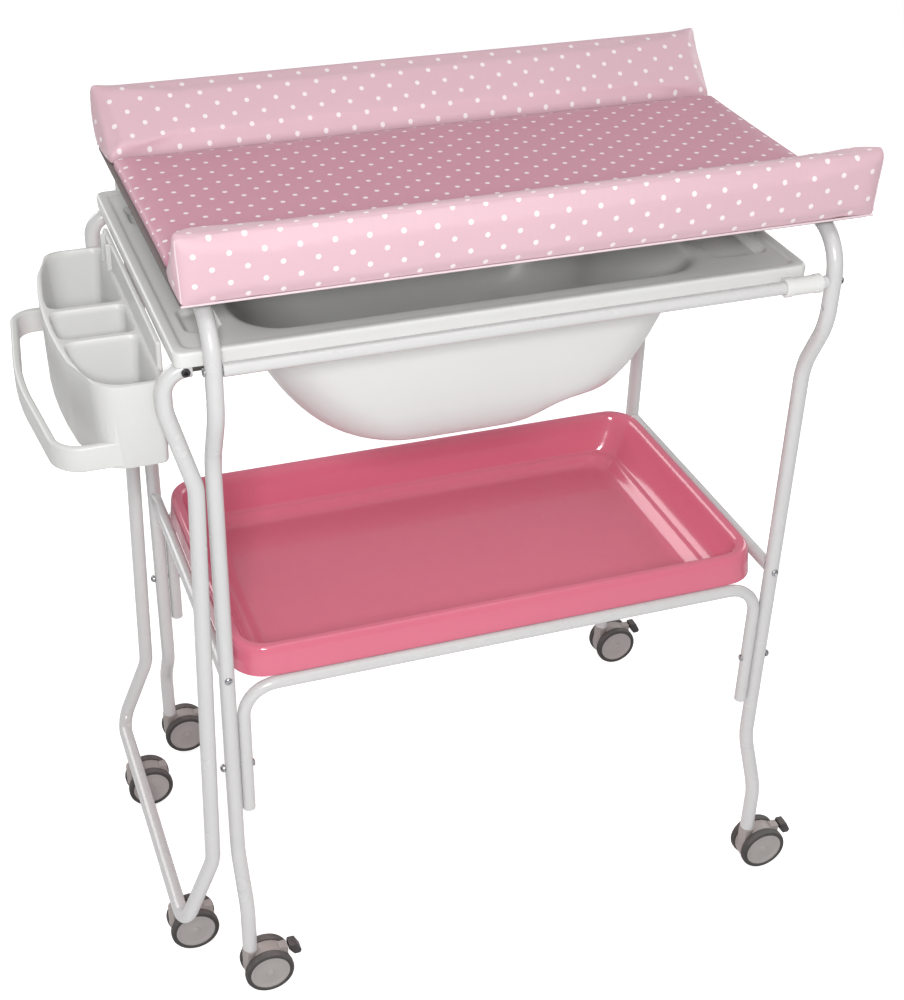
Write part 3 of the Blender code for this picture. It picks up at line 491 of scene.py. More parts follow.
# ---- Bath -------------------------------------------------------------------------
# Vacuum-formed white plastic, 3 mm thick: a lipped flange with a raised border, soap
# dishes pressed in at both ends, and a deep bowl with a seat hump and a drain spout.

bath_low, bath_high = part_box("bath_tub")
flange_z = bath_high.z
bath_wall, bath_depth = 0.003, 0.224
bath_floor = flange_z - bath_depth
border, lip = 0.003, 0.017
# inset at the left, at the right, at front and back, height, corner radius
bath_rows = [
    (0.0014, 0.0014, 0.0010, flange_z - lip, 0.010),
    (0.0010, 0.0010, 0.0006, flange_z - lip + 0.0020, 0.011),
    (0.0000, 0.0000, 0.0000, flange_z - 0.0035, 0.012),
    (0.0012, 0.0012, 0.0012, flange_z - 0.0008, 0.011),
    (0.0040, 0.0040, 0.0035, flange_z, 0.010),
    (0.0100, 0.0100, 0.0090, flange_z, 0.012),
    (0.0125, 0.0125, 0.0112, flange_z - 0.0008, 0.013),
    (0.0145, 0.0145, 0.0130, flange_z - border, 0.014),
    (0.0180, 0.0180, 0.0155, flange_z - border, 0.018),
    (0.0450, 0.0560, 0.0235, flange_z - border, 0.040),
    (0.0740, 0.0980, 0.0300, flange_z - border, 0.056),
    (0.0790, 0.1035, 0.0330, flange_z - border - 0.0006, 0.058),
    (0.0835, 0.1085, 0.0368, flange_z - border - 0.0042, 0.060),
    (0.0870, 0.1110, 0.0395, flange_z - 0.0130, 0.060),
    (0.1000, 0.1160, 0.0480, bath_floor + 0.191, 0.066),
    (0.1180, 0.1250, 0.0570, bath_floor + 0.146, 0.074),
    (0.1430, 0.1380, 0.0670, bath_floor + 0.099, 0.080),
    (0.1700, 0.1560, 0.0800, bath_floor + 0.059, 0.086),
    (0.1970, 0.1800, 0.0960, bath_floor + 0.028, 0.088),
    (0.2240, 0.2080, 0.1160, bath_floor + 0.009, 0.080),
    (0.2500, 0.2400, 0.1400, bath_floor + 0.0006, 0.062),
    (0.2640, 0.2560, 0.1500, bath_floor, 0.054)]
bath = moulded_skin("bath_moulding", [
    rounded_ring(bath_low.x + left, bath_high.x - right, bath_low.y + side,
                 bath_high.y - side, radius, z) for left, right, side, z, radius in bath_rows])
apply_modifier(bath, "SUBSURF", levels=2, render_levels=2)

# The seat hump stands across the bowl; each dish is sunk into the flange.
hump_x, hump_height, hump_width = bath_high.x - 0.245, 0.045, 0.035
for vert in bath.data.vertices:
    if vert.co.z < flange_z - 0.03:
        reach = math.exp(-((vert.co.x - hump_x) / hump_width) ** 2)
        across = max(0.0, 1 - abs(vert.co.y / 0.15) ** 3)
        depth = max(0.0, min(1.0, (bath_floor + 0.12 - vert.co.z) / 0.10))
        vert.co.z += hump_height * reach * across * depth
round_off, dish_slope = 0.013, 0.006
dishes = [(bath_high.x - 0.093, bath_high.x - 0.022, -0.176, 0.176, 0.011),
          (bath_low.x + 0.024, bath_low.x + 0.066, -0.180, -0.118, 0.007),
          (bath_low.x + 0.024, bath_low.x + 0.066, 0.118, 0.180, 0.007)]
for left, right, front, back, sink in dishes:
    edit(bath)
    for step in (0, 0.0015, 0.003, 0.0045, 0.006, 0.008, 0.0105, 0.0135):
        for place, normal in (((left + step, 0, 0), (1, 0, 0)), ((right - step, 0, 0), (1, 0, 0)),
                              ((0, front + step, 0), (0, 1, 0)),
                              ((0, back - step, 0), (0, 1, 0))):
            select(lambda face: (face.calc_center_median().z > flange_z - 0.004
                                 and left - 0.01 < face.calc_center_median().x < right + 0.01
                                 and front - 0.02 < face.calc_center_median().y < back + 0.02),
                   "faces")
            bpy.ops.mesh.bisect(plane_co=place, plane_no=normal)
    bpy.ops.object.mode_set(mode="OBJECT")
    for vert in bath.data.vertices:
        x, y, z = vert.co
        if z > flange_z - 0.004 and left <= x <= right and front <= y <= back:
            side, end = min(x - left, right - x), min(y - front, back - y)
            if side < round_off and end < round_off:
                inward = round_off - math.hypot(round_off - side, round_off - end)
            else:
                inward = min(side, end)
            slope = max(0.0, min(1.0, inward / dish_slope))
            vert.co.z -= sink * slope * slope * (3 - 2 * slope)
apply_modifier(bath, "SOLIDIFY", thickness=bath_wall, offset=-1.0)
bpy.ops.object.shade_smooth_by_angle(angle=math.radians(45))
white_plastic = hard_finish("white_bath_plastic", (0.70, 0.70, 0.69), 0.30, 0.10,
                            grain=320.0, wave=1.2, wave_size=26.0, relief=0.00007,
                            drift=0.05, dust=0.10, rub=0.1, scatter=0.06)
dress(bath, white_plastic)
stand_for(bath, "bath_tub", "bath_carriage")


def turned(name, profile, place=(0, 0, 0), towards=(0, 0, 1), steps=48):
    """A turned piece: a profile of (radius, height) spun about a line from a place."""
    piece = drawn([Vector((radius, 0, height)) for radius, height in profile])
    bpy.ops.mesh.select_all(action="SELECT")
    bpy.ops.mesh.spin(steps=steps, angle=math.tau, center=(0, 0, 0), axis=(0, 0, 1))
    bpy.ops.object.mode_set(mode="OBJECT")
    aim = Vector((0, 0, 1)).rotation_difference(Vector(towards)).to_matrix().to_4x4()
    piece.data.transform(Matrix.Translation(place) @ aim)
    return finish_mesh(name)


# The spout is a short moulded pipe; the plug in it is soft plastic with a pull grip.
plug_low, plug_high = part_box("drain_plug")
drain = Vector(((plug_low.x + plug_high.x) / 2, 0, bath_floor))
spout_length = bath_floor - bath_low.z
spout = turned("bath_spout", [(0.008, 0.001), (0.012, 0.001), (0.0122, -0.012),
                              (0.0135, -0.0135), (0.0135, -0.0165), (0.012, -0.018),
                              (0.012, -spout_length + 0.001), (0.0112, -spout_length),
                              (0.0088, -spout_length), (0.008, -spout_length + 0.001),
                              (0.008, 0.001)], drain - Vector((0, 0, bath_wall)))
dress(spout, white_plastic)
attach(spout, "bath_carriage")
plug_material = hard_finish("plug_plastic", (0.70, 0.70, 0.68), 0.45, relief=0.0001)
grip = plug_high.z - bath_floor
plug = turned("drain_plug_moulding", [(0, grip), (0.0032, grip), (0.0042, grip - 0.001),
                                      (0.0042, grip - 0.003), (0.0028, grip - 0.0045),
                                      (0.0030, 0.0050), (0.0048, 0.0036), (0.0105, 0.0026),
                                      (0.0113, 0.0018), (0.0113, 0.0006), (0.0078, 0.0004),
                                      (0.0076, -0.004), (0.0072, -0.0045), (0.0076, -0.005),
                                      (0.0070, -0.0115), (0, -0.0115)], drain)
dress(plug, plug_material)
stand_for(plug, "drain_plug", "plug")

# ---- Accessory box ----------------------------------------------------------------
# One heavy white moulding that hangs on the bath's left lip: a bowed box with three deep
# drafted compartments, a back plate with two ribs, and a flat bow handle.

box_back_x = bath_low.x - 0.0035
box_low, box_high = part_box("accessory_box")
box_front, box_back = box_low.y, box_high.y
box_middle = (box_front + box_back) / 2
box_floor = box_low.z
box_height, box_depth, box_bow = 0.102, 0.078, 0.022
box_rim = box_floor + box_height


def bowed_ring(front, back, inset, z, front_radius, rear_radius, inner_radius=0.006):
    """A level outline of the box, or of a compartment: straight back and bowed front."""
    half = (box_back - box_front) / 2

    def outer_x(y):
        return box_back_x - box_depth - box_bow * (1 - ((y - box_middle) / half) ** 2) + inset

    inner_x = box_back_x - inset
    corners = [(inner_x, front, inner_radius), (inner_x, back, inner_radius),
               (outer_x(back), back, rear_radius), (outer_x(front), front, front_radius)]
    places = [Vector((x, y, z)) for x, y, radius in corners]
    points = []
    for i, (corner, (x, y, radius)) in enumerate(zip(places, corners)):
        into = (places[i - 1] - corner).normalized()
        out = (places[(i + 1) % 4] - corner).normalized()
        for k in range(8):
            angle = math.pi / 2 * k / 7
            points.append(corner + into * radius * (1 - math.sin(angle))
                          + out * radius * (1 - math.cos(angle)))
        start, end = points[-1], places[(i + 1) % 4] + (
            corner - places[(i + 1) % 4]).normalized() * corners[(i + 1) % 4][2]
        for k in range(1, 8):
            point = start.lerp(end, k / 8)
            if i == 2:
                lean = math.sin(math.pi * k / 8)
                chord_x = places[2].lerp(places[3], (point.y - back) / (front - back)).x
                point.x += (outer_x(point.y) - chord_x) * min(1.0, lean * 3)
            points.append(point)
    return points


def combine(piece, other, operation):
    """A Boolean with another solid, which is used up."""
    apply_modifier(piece, "BOOLEAN", operation=operation, object=other, solver="EXACT")
    bpy.data.objects.remove(other, do_unlink=True)


def block(size, place, rounding, segments):
    """A block at its size and place, with every edge rounded."""
    bpy.ops.mesh.primitive_cube_add(size=1, location=(0, 0, 0))
    piece = bpy.context.object
    piece.scale = size
    piece.location = place
    bpy.ops.object.transform_apply(location=True, rotation=True, scale=True)
    apply_modifier(piece, "BEVEL", width=rounding, segments=segments, limit_method="ANGLE",
                   angle_limit=math.radians(50))
    return piece


box = lofted("accessory_box_moulding", [
    bowed_ring(box_front + 0.008, box_back - 0.006, 0.006, box_floor, 0.030, 0.020),
    bowed_ring(box_front + 0.005, box_back - 0.004, 0.0035, box_floor + 0.001, 0.032, 0.021),
    bowed_ring(box_front + 0.0035, box_back - 0.0025, 0.0022, box_floor + 0.004, 0.033, 0.022),
    bowed_ring(box_front + 0.0005, box_back - 0.0005, 0.0004, box_rim - 0.012, 0.034, 0.022),
    bowed_ring(box_front, box_back, 0.0, box_rim - 0.004, 0.034, 0.022),
    bowed_ring(box_front + 0.0008, box_back - 0.0008, 0.0008, box_rim - 0.001, 0.034, 0.022),
    bowed_ring(box_front + 0.0028, box_back - 0.0028, 0.0028, box_rim, 0.033, 0.021)],
             solid=True)
divider, outer_wall = 0.0045, 0.0064
for front, back, front_radius, rear_radius in (
        (box_front, -0.0800 - divider, 0.034, 0.014), (-0.0800 + divider, -divider, 0.012, 0.012),
        (divider, box_back, 0.014, 0.026)):
    wall_front = outer_wall if front == box_front else 0.0
    wall_back = outer_wall if back == box_back else 0.0
    rings = []
    for draft, z in ((-0.0030, box_rim + 0.002), (-0.0012, box_rim - 0.0002),
                     (0.0000, box_rim - 0.002), (0.0010, box_rim - 0.008),
                     (0.0070, box_floor + 0.020), (0.0095, box_floor + 0.0105),
                     (0.0140, box_floor + 0.0055), (0.0200, box_floor + 0.0042)):
        rings.append(bowed_ring(front + wall_front + draft, back - wall_back - draft,
                                0.0070 + draft, z, max(0.006, front_radius - draft * 0.6),
                                max(0.006, rear_radius - draft * 0.6), 0.010))
    combine(box, lofted("compartment", rings, solid=True), "DIFFERENCE")

# The handle is a band on edge, drawn along its bow; the plate stands against the bath's lip.
handle_height, handle_wall, handle_reach = 0.030, 0.009, 0.0405
handle_x = box_back_x - box_depth - handle_reach
route = [(box_back_x - box_depth + 0.012, box_back - handle_wall),
         (handle_x, box_back - handle_wall), (handle_x - 0.018, box_middle),
         (handle_x, box_front + handle_wall),
         (box_back_x - box_depth + 0.050, box_front + handle_wall)]
route = [Vector((x, y, box_floor + 0.004)) for x, y in route]
handle_bends = (0.026, 0.45, 0.032)
handle = drawn(route)
round_corners(route, handle_bends, 14)
bpy.ops.mesh.select_all(action="SELECT")
bpy.ops.mesh.extrude_region_move(TRANSFORM_OT_translate={"value": (0, 0, handle_height)})
bpy.ops.mesh.select_all(action="SELECT")
bpy.ops.mesh.normals_make_consistent(inside=False)
bpy.ops.object.mode_set(mode="OBJECT")
apply_modifier(handle, "SOLIDIFY", thickness=handle_wall, offset=0.0, use_even_offset=True)
apply_modifier(handle, "BEVEL", width=0.0032, segments=4, limit_method="ANGLE",
               angle_limit=math.radians(50))
handle = finish_mesh("accessory_box_handle", 40)
combine(box, handle, "UNION")

plate_top, plate_overlap = box_high.z, 0.020
plate_height = plate_top - box_rim
combine(box, block((0.0064, box_back - box_front - 0.050, plate_height + plate_overlap),
                   (box_back_x - 0.0001, box_middle + 0.005,
                    (plate_top + box_rim - plate_overlap) / 2), 0.0026, 4), "UNION")
for y in (box_back - 0.040, box_back - 0.072):
    combine(box, block((0.007, 0.0035, plate_height + 0.004),
                       (box_back_x - 0.0055, y, (plate_top + box_rim) / 2 - 0.001),
                       0.0012, 3), "UNION")
bpy.ops.object.select_all(action="DESELECT")
bpy.context.view_layer.objects.active = box
box.select_set(True)
bpy.ops.object.shade_smooth_by_angle(angle=math.radians(38))
box_plastic = hard_finish("white_box_plastic", (0.63, 0.63, 0.62), 0.36, 0.10, grain=380.0,
                          wave=1.0, wave_size=30.0, relief=0.00009, drift=0.04, dust=0.12,
                          rub=0.12, scatter=0.06)
dress(box, box_plastic)
stand_for(box, "accessory_box", "bath_carriage")

# ---- Bath carriage ----------------------------------------------------------------
# White enamelled 19 mm tube: two uprights with a bent shoulder, plugged into a loop that
# runs along the floor on two casters. Black rods and two plastic glides carry the bath.

rod_low, rod_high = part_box("front_slide_rod")
rod_z = (rod_low.z + rod_high.z) / 2
carriage_y = -(rod_low.y + rod_high.y) / 2
upright_x = left_x - 0.017
lean_x, lean_z, lean = upright_x - 0.0035, rod_z - 0.146, 0.0225
joint_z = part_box("foot_loop")[1].z
loop_z, loop_x = 0.097, left_x - 0.076


def leaning(z):
    """Where the leaning carriage leg is at a height."""
    return lean_x - lean * (lean_z - z)


for name, side in (("front_carriage_tube", -1), ("rear_carriage_tube", 1)):
    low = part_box(name)[0].z
    corners = [(upright_x, rod_z), (upright_x - 0.031, rod_z),
               (upright_x - 0.031, rod_z - 0.046), (lean_x, lean_z), (leaning(low), low)]
    upright = bent_tube(name + "_bent", [(x, side * carriage_y, z) for x, z in corners],
                        [0.027, 0.05, 0.05], leg_radius)
    dress(upright, enamel)
    stand_for(upright, name, "bath_carriage")

half = [(leaning(joint_z), joint_z, carriage_y),
        (leaning(loop_z + 0.103), loop_z + 0.103, carriage_y), (loop_x, loop_z, carriage_y)]
corners = [(x, -y, z) for x, z, y in half] + [(x, y, z) for x, z, y in reversed(half)]
loop = bent_tube("foot_loop_bent", corners, [0.05, 0.028, 0.028, 0.05], leg_radius)
dress(loop, enamel)
stand_for(loop, "foot_loop", "bath_carriage")

# The slide rods are coloured near black all over, their edges rubbed a little lighter.
near_black_rod_finish = hard_finish("near_black_rod_finish", (0.018, 0.017, 0.017), 0.34, 0.14, dust=0.10,
                            relief=0.00005, rub=0.5, rub_colour=(0.20, 0.19, 0.18))
for name in ("front_slide_rod", "rear_slide_rod"):
    low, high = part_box(name)
    y = (low.y + high.y) / 2
    slide = bent_tube(name + "_steel", [(low.x, y, rod_z), (high.x, y, rod_z)], [],
                      (high.z - low.z) / 2)
    dress(slide, near_black_rod_finish)
    stand_for(slide, name, "bath_carriage")

glide_plastic = hard_finish("glide_plastic", (0.72, 0.72, 0.71), 0.38, relief=0.00008)
for name, side in (("front_glide", -1), ("rear_glide", 1)):
    low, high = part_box(name)
    outer = side * (high.y if side > 0 else low.y) - shoulder_y
    length = high.x - low.x
    bore = rail_radius + 0.0003
    sleeve = turned(name + "_sleeve", [
        (bore, 0), (outer - 0.0012, 0), (outer, 0.0012), (outer, 0.008), (outer - 0.0009, 0.0088),
        (outer - 0.0009, length - 0.0088), (outer, length - 0.008), (outer, length - 0.0012),
        (outer - 0.0012, length), (bore, length), (bore, 0)],
        (low.x, side * shoulder_y, rail_z), (1, 0, 0))
    arm_inner, arm_outer = carriage_y - 0.009, shoulder_y - outer + 0.001
    arm = block((length - 0.016, arm_outer - arm_inner, 0.0141),
                ((low.x + high.x) / 2, side * (arm_inner + arm_outer) / 2, rod_z - 0.0002),
                0.0014, 3)
    combine(sleeve, arm, "UNION")
    bpy.ops.object.shade_smooth_by_angle(angle=math.radians(38))
    dress(sleeve, glide_plastic)
    stand_for(sleeve, name, "bath_carriage")

# ---- Casters ----------------------------------------------------------------------
# Twin-wheel furniture casters: two black rubber tyres on grey nylon hubs, pressed on one
# axle either side of a moulded housing. Those under the legs have a black brake tab.


def from_node(node, name, edge_width, segments=2, smooth=40):
    """A finer copy of a CAD node: doubles welded, flat faces joined, edges rounded."""
    piece = placed(name, nodes[node].data.copy())
    edit(piece)
    bpy.ops.mesh.select_all(action="SELECT")
    bpy.ops.mesh.remove_doubles(threshold=0.00002)
    bpy.ops.mesh.dissolve_limited(angle_limit=math.radians(1.5))
    bpy.ops.object.mode_set(mode="OBJECT")
    apply_modifier(piece, "BEVEL", width=edge_width, segments=segments,
                   limit_method="ANGLE", angle_limit=math.radians(38))
    bpy.ops.object.shade_smooth_by_angle(angle=math.radians(smooth))
    return piece


def copy_of(piece, name, move):
    """The same piece again with its own mesh, moved."""
    mesh = piece.data.copy()
    mesh.transform(Matrix.Translation(move))
    return placed(name, mesh)


tyre_rubber = hard_finish("tyre_rubber", (0.030, 0.027, 0.026), 0.52, 0.16, grain=900.0,
                          wave=0.8, wave_size=160.0, relief=0.00012, drift=0.2, dust=0.30,
                          rub=0.5, rub_colour=(0.11, 0.10, 0.095))
hub_nylon = hard_finish("hub_nylon", (0.36, 0.335, 0.325), 0.42, 0.12, grain=600.0,
                        relief=0.00010, dust=0.15)
housing_nylon = hard_finish("housing_nylon", (0.34, 0.305, 0.29), 0.40, 0.12, grain=520.0,
                            relief=0.00010, dust=0.15)
brake_plastic = hard_finish("brake_plastic", (0.026, 0.023, 0.023), 0.45, 0.14, grain=500.0,
                            relief=0.00012, dust=0.20, rub=0.4,
                            rub_colour=(0.13, 0.12, 0.12))
wheel_low, wheel_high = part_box("caster_1_front_wheel")
tread = (wheel_high.z - wheel_low.z) / 2
half_wheel = (wheel_high.y - wheel_low.y) / 2
hub_radius, hub_face = tread - 0.0063, half_wheel - 0.0006
tyre_profile = [(hub_radius, hub_face), (hub_radius + 0.0011, half_wheel),
                (tread - 0.0036, half_wheel), (tread - 0.0012, half_wheel - 0.0009),
                (tread - 0.0002, half_wheel - 0.0028), (tread, 0.0012),
                (tread - 0.0005, 0.0006), (tread - 0.0005, -0.0002), (tread, -0.0008),
                (tread - 0.0002, 0.0024 - half_wheel), (tread - 0.0012, 0.0008 - half_wheel),
                (tread - 0.0032, -half_wheel), (hub_radius, -half_wheel),
                (hub_radius, hub_face)]
hub_profile = [(0, half_wheel - 0.0004), (0.0040, half_wheel - 0.0005),
               (0.0052, half_wheel - 0.0011), (0.0058, half_wheel - 0.0021),
               (0.0066, half_wheel - 0.0024), (0.0190, half_wheel - 0.0027),
               (0.0212, half_wheel - 0.0023), (0.0228, half_wheel - 0.0011),
               (0.0240, half_wheel - 0.0008), (hub_radius - 0.0002, half_wheel - 0.0010),
               (hub_radius - 0.0001, 0.0006 - half_wheel), (0.0220, 0.0006 - half_wheel),
               (0.0220, 0), (0.0100, 0), (0.0100, 0.0004 - half_wheel),
               (0.0043, 0.0004 - half_wheel), (0.0043, half_wheel - 0.0029),
               (0, half_wheel - 0.0029)]
outward = {"front": (0, -1, 0), "rear": (0, 1, 0)}
wheels = {}
for end, towards in outward.items():
    wheels[end] = (turned("tyre_first_" + end, tyre_profile, (0, 0, 0), towards, 64),
                   turned("hub_first_" + end, hub_profile, (0, 0, 0), towards, 64))

for number in "123456":
    body = "caster_" + number
    for end in outward:
        node = body + "_" + end + "_wheel"
        low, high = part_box(node)
        axle = (low + high) / 2
        tyre = copy_of(wheels[end][0], node + "_tyre", axle)
        hub = copy_of(wheels[end][1], node + "_hub", axle)
        dress(tyre, tyre_rubber)
        dress(hub, hub_nylon)
        stand_for(tyre, node, body + "_wheels")
        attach(hub, body + "_wheels")
    housing = from_node(body + "_housing", body + "_housing_moulding", 0.0007)
    dress(housing, housing_nylon)
    stand_for(housing, body + "_housing", body + "_swivel")
    if number in "1234":
        tab = from_node(body + "_lever", body + "_brake_tab", 0.0011, 3)
        dress(tab, brake_plastic)
        stand_for(tab, body + "_lever", body + "_brake")
for piece in wheels["front"] + wheels["rear"]:
    bpy.data.objects.remove(piece, do_unlink=True)

# ---- Screws, bolts and nuts -------------------------------------------------------
# Zinc-plated pan-head screws hold the rails and side bars, a bolt with a domed nut holds
# each rail end of the tray, and a black socket-head bolt holds each slide rod.

zinc_plate = hard_finish("zinc_plate", (0.42, 0.42, 0.44), 0.30, 0.16, grain=1500.0,
                         wave=0.8, wave_size=300.0, relief=0.00003, drift=0.25, dust=0.08,
                         rub=0.3, rub_colour=(0.62, 0.62, 0.63), metallic=1.0)
black_oxide = hard_finish("black_oxide", (0.030, 0.029, 0.032), 0.36, 0.12, grain=1500.0,
                          relief=0.00003, drift=0.2, dust=0.08, rub=0.6,
                          rub_colour=(0.30, 0.29, 0.29), metallic=0.8)


def fastener(node, towards, head, tail):
    """A turned fastener in a node's place: head at one end, its shank or nut at the other."""
    low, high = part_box(node)
    towards = Vector(towards)
    length = abs((high - low).dot(towards))
    start = (low + high) / 2 - towards * length / 2
    profile = head + [(radius, length - height) for radius, height in tail]
    return turned(node + "_turned", profile, start, towards, 40), start


def recess(piece, start, towards, radius, depth, sides):
    """A socket with straight sides, cut into a head."""
    towards = Vector(towards)
    bpy.ops.mesh.primitive_cylinder_add(vertices=sides, radius=radius, depth=2 * depth,
                                        location=start,
                                        rotation=towards.to_track_quat("Z", "Y").to_euler())
    combine(piece, bpy.context.object, "DIFFERENCE")
    bpy.ops.object.shade_smooth_by_angle(angle=math.radians(35))


head_radius, head_height, shank = 0.0048, 0.0022, 0.0026
pan_head = [(0, 0), (0.0020, 0.0001), (0.0035, 0.0004), (0.0044, 0.0010),
            (head_radius, 0.0017), (head_radius, head_height), (shank, head_height)]
thread = [(shank, 0.0008), (shank - 0.0008, 0), (0, 0)]
for side, y in (("front", -1), ("rear", 1)):
    for hand, x in (("left", -1), ("right", 1)):
        for kind, towards in (("rail", (-x, 0, 0)), ("side_bar", (0, -y, 0))):
            node = kind + "_screw_" + side + "_" + hand
            piece, start = fastener(node, towards, pan_head, thread)
            recess(piece, start, towards, 0.0021, 0.0011, 6)
            dress(piece, zinc_plate)
            stand_for(piece, node, "main_frame")
        node = "tray_bolt_" + side + "_" + hand
        nut = [(0, 0), (0.0022, 0.0002), (0.0037, 0.0011), (0.0044, 0.0024),
               (0.0051, 0.0027), (0.0052, 0.0031), (0.0052, 0.0050), (0.0048, 0.0055),
               (0.0030, 0.0055)]
        bolt_head = [(0.0030, head_height), (head_radius, head_height), (head_radius, 0.0017),
                     (0.0044, 0.0010), (0.0035, 0.0004), (0.0020, 0.0001), (0, 0)]
        piece, start = fastener(node, (-x, 0, 0), nut, bolt_head)
        dress(piece, zinc_plate)
        stand_for(piece, node, "main_frame")
    node = side + "_carriage_bolt"
    socket_head = [(0, 0), (0.0042, 0), (0.0048, 0.0005), (0.0048, 0.0022), (0.0026, 0.0022)]
    piece, start = fastener(node, (0, -y, 0), socket_head, thread)
    recess(piece, start, (0, -y, 0), 0.0027, 0.0014, 6)
    dress(piece, black_oxide)
    stand_for(piece, node, "bath_carriage")

# ---- Changing top -----------------------------------------------------------------
# A thin grey board carries a foam mat between two foam wedges. All are covered in one
# rose cotton with a clear coating and a printed white dot, sewn with a pale piping. The
# mat's copy of the cotton is painted darker and deeper as shade, the wedges' paler as light.

fibre_board = hard_finish("fibre_board", (0.155, 0.125, 0.120), 0.62, 0.10, grain=500.0,
                          wave=1.5, wave_size=120.0, relief=0.00020, drift=0.25, dust=0.05)
board_low, board_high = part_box("pad_board")
middle, span = (board_low + board_high) / 2, board_high - board_low
bpy.ops.mesh.primitive_cube_add(size=1, location=middle, scale=span)
board = bpy.context.object
board.name = "pad_board_sheet"
bpy.ops.object.transform_apply(location=True, rotation=True, scale=True)
edit(board)
select(lambda edge: abs(edge.verts[0].co.z - edge.verts[1].co.z) > 0.001, "edges")
bpy.ops.mesh.bevel(offset=0.008, segments=8, affect="EDGES")
select(lambda edge: edge.calc_face_angle(0) > 1.2, "edges")
bpy.ops.mesh.bevel(offset=0.0007, segments=2, affect="EDGES")
bpy.ops.object.mode_set(mode="OBJECT")
bpy.ops.object.shade_smooth_by_angle(angle=math.radians(40))
dress(board, fibre_board)
stand_for(board, "pad_board", "changing_top")

# The print: white dots in staggered rows, from the cover's own flat layout.
dots, dots_in, dots_out = node_group(
    "printed_dots",
    [("Place", "NodeSocketVector", None), ("Along", "NodeSocketFloat", 0.0364),
     ("Across", "NodeSocketFloat", 0.0314), ("Radius", "NodeSocketFloat", 0.0029)],
    [("Print", "NodeSocketFloat")])
flat = dots.nodes.new("ShaderNodeSeparateXYZ")
wire(dots, (dots_in.outputs["Place"], flat.inputs["Vector"]))
along = math_node(dots, "DIVIDE", flat.outputs["X"], dots_in.outputs["Along"])
across = math_node(dots, "DIVIDE", flat.outputs["Y"], dots_in.outputs["Across"])
offsets = []
for operation in ("ADD", "SUBTRACT"):
    slanted = math_node(dots, operation, along, across)
    offsets.append(math_node(dots, "SUBTRACT", slanted, math_node(dots, "ROUND", slanted)))
u_off = math_node(dots, "MULTIPLY", math_node(dots, "ADD", *offsets),
                  math_node(dots, "MULTIPLY", dots_in.outputs["Along"], 0.5))
v_off = math_node(dots, "MULTIPLY", math_node(dots, "SUBTRACT", *offsets),
                  math_node(dots, "MULTIPLY", dots_in.outputs["Across"], 0.5))
away = math_node(dots, "SQRT", math_node(dots, "ADD", math_node(dots, "MULTIPLY", u_off, u_off),
                                         math_node(dots, "MULTIPLY", v_off, v_off)))
edge_mask = dots.nodes.new("ShaderNodeMapRange")
wire(dots, (away, edge_mask.inputs["Value"]),
     (math_node(dots, "ADD", dots_in.outputs["Radius"], 0.00025), edge_mask.inputs["From Min"]),
     (math_node(dots, "SUBTRACT", dots_in.outputs["Radius"], 0.00025),
      edge_mask.inputs["From Max"]),
     (edge_mask.outputs["Result"], dots_out.inputs["Print"]))

# The cloth: a plain weave with thicker threads here and there, as height and as tone.
weave, weave_in, weave_out = node_group(
    "plain_weave", [("Place", "NodeSocketVector", None), ("Thread", "NodeSocketFloat", 0.00045)],
    [("Height", "NodeSocketFloat"), ("Tone", "NodeSocketFloat")])
flat = weave.nodes.new("ShaderNodeSeparateXYZ")
wire(weave, (weave_in.outputs["Place"], flat.inputs["Vector"]))
turns = math_node(weave, "DIVIDE", math.pi, weave_in.outputs["Thread"])
ribs = [math_node(weave, "SINE", math_node(weave, "MULTIPLY", flat.outputs[axis], turns))
        for axis in "XY"]
slubs = []
for stretch in ((900.0, 30.0, 1.0), (30.0, 900.0, 1.0)):
    stretched = weave.nodes.new("ShaderNodeVectorMath")
    stretched.operation = "MULTIPLY"
    stretched.inputs[1].default_value = stretch
    wire(weave, (weave_in.outputs["Place"], stretched.inputs[0]))
    slubs.append(noise(weave, stretched.outputs["Vector"], 1.0, 3.0, 0.6))
slub = math_node(weave, "MULTIPLY", math_node(weave, "ADD", *slubs), 0.5)
wire(weave, (math_node(weave, "MULTIPLY_ADD", math_node(weave, "MULTIPLY", *ribs), 0.5,
                       math_node(weave, "MULTIPLY", slub, 1.5)), weave_out.inputs["Height"]),
     (slub, weave_out.inputs["Tone"]))


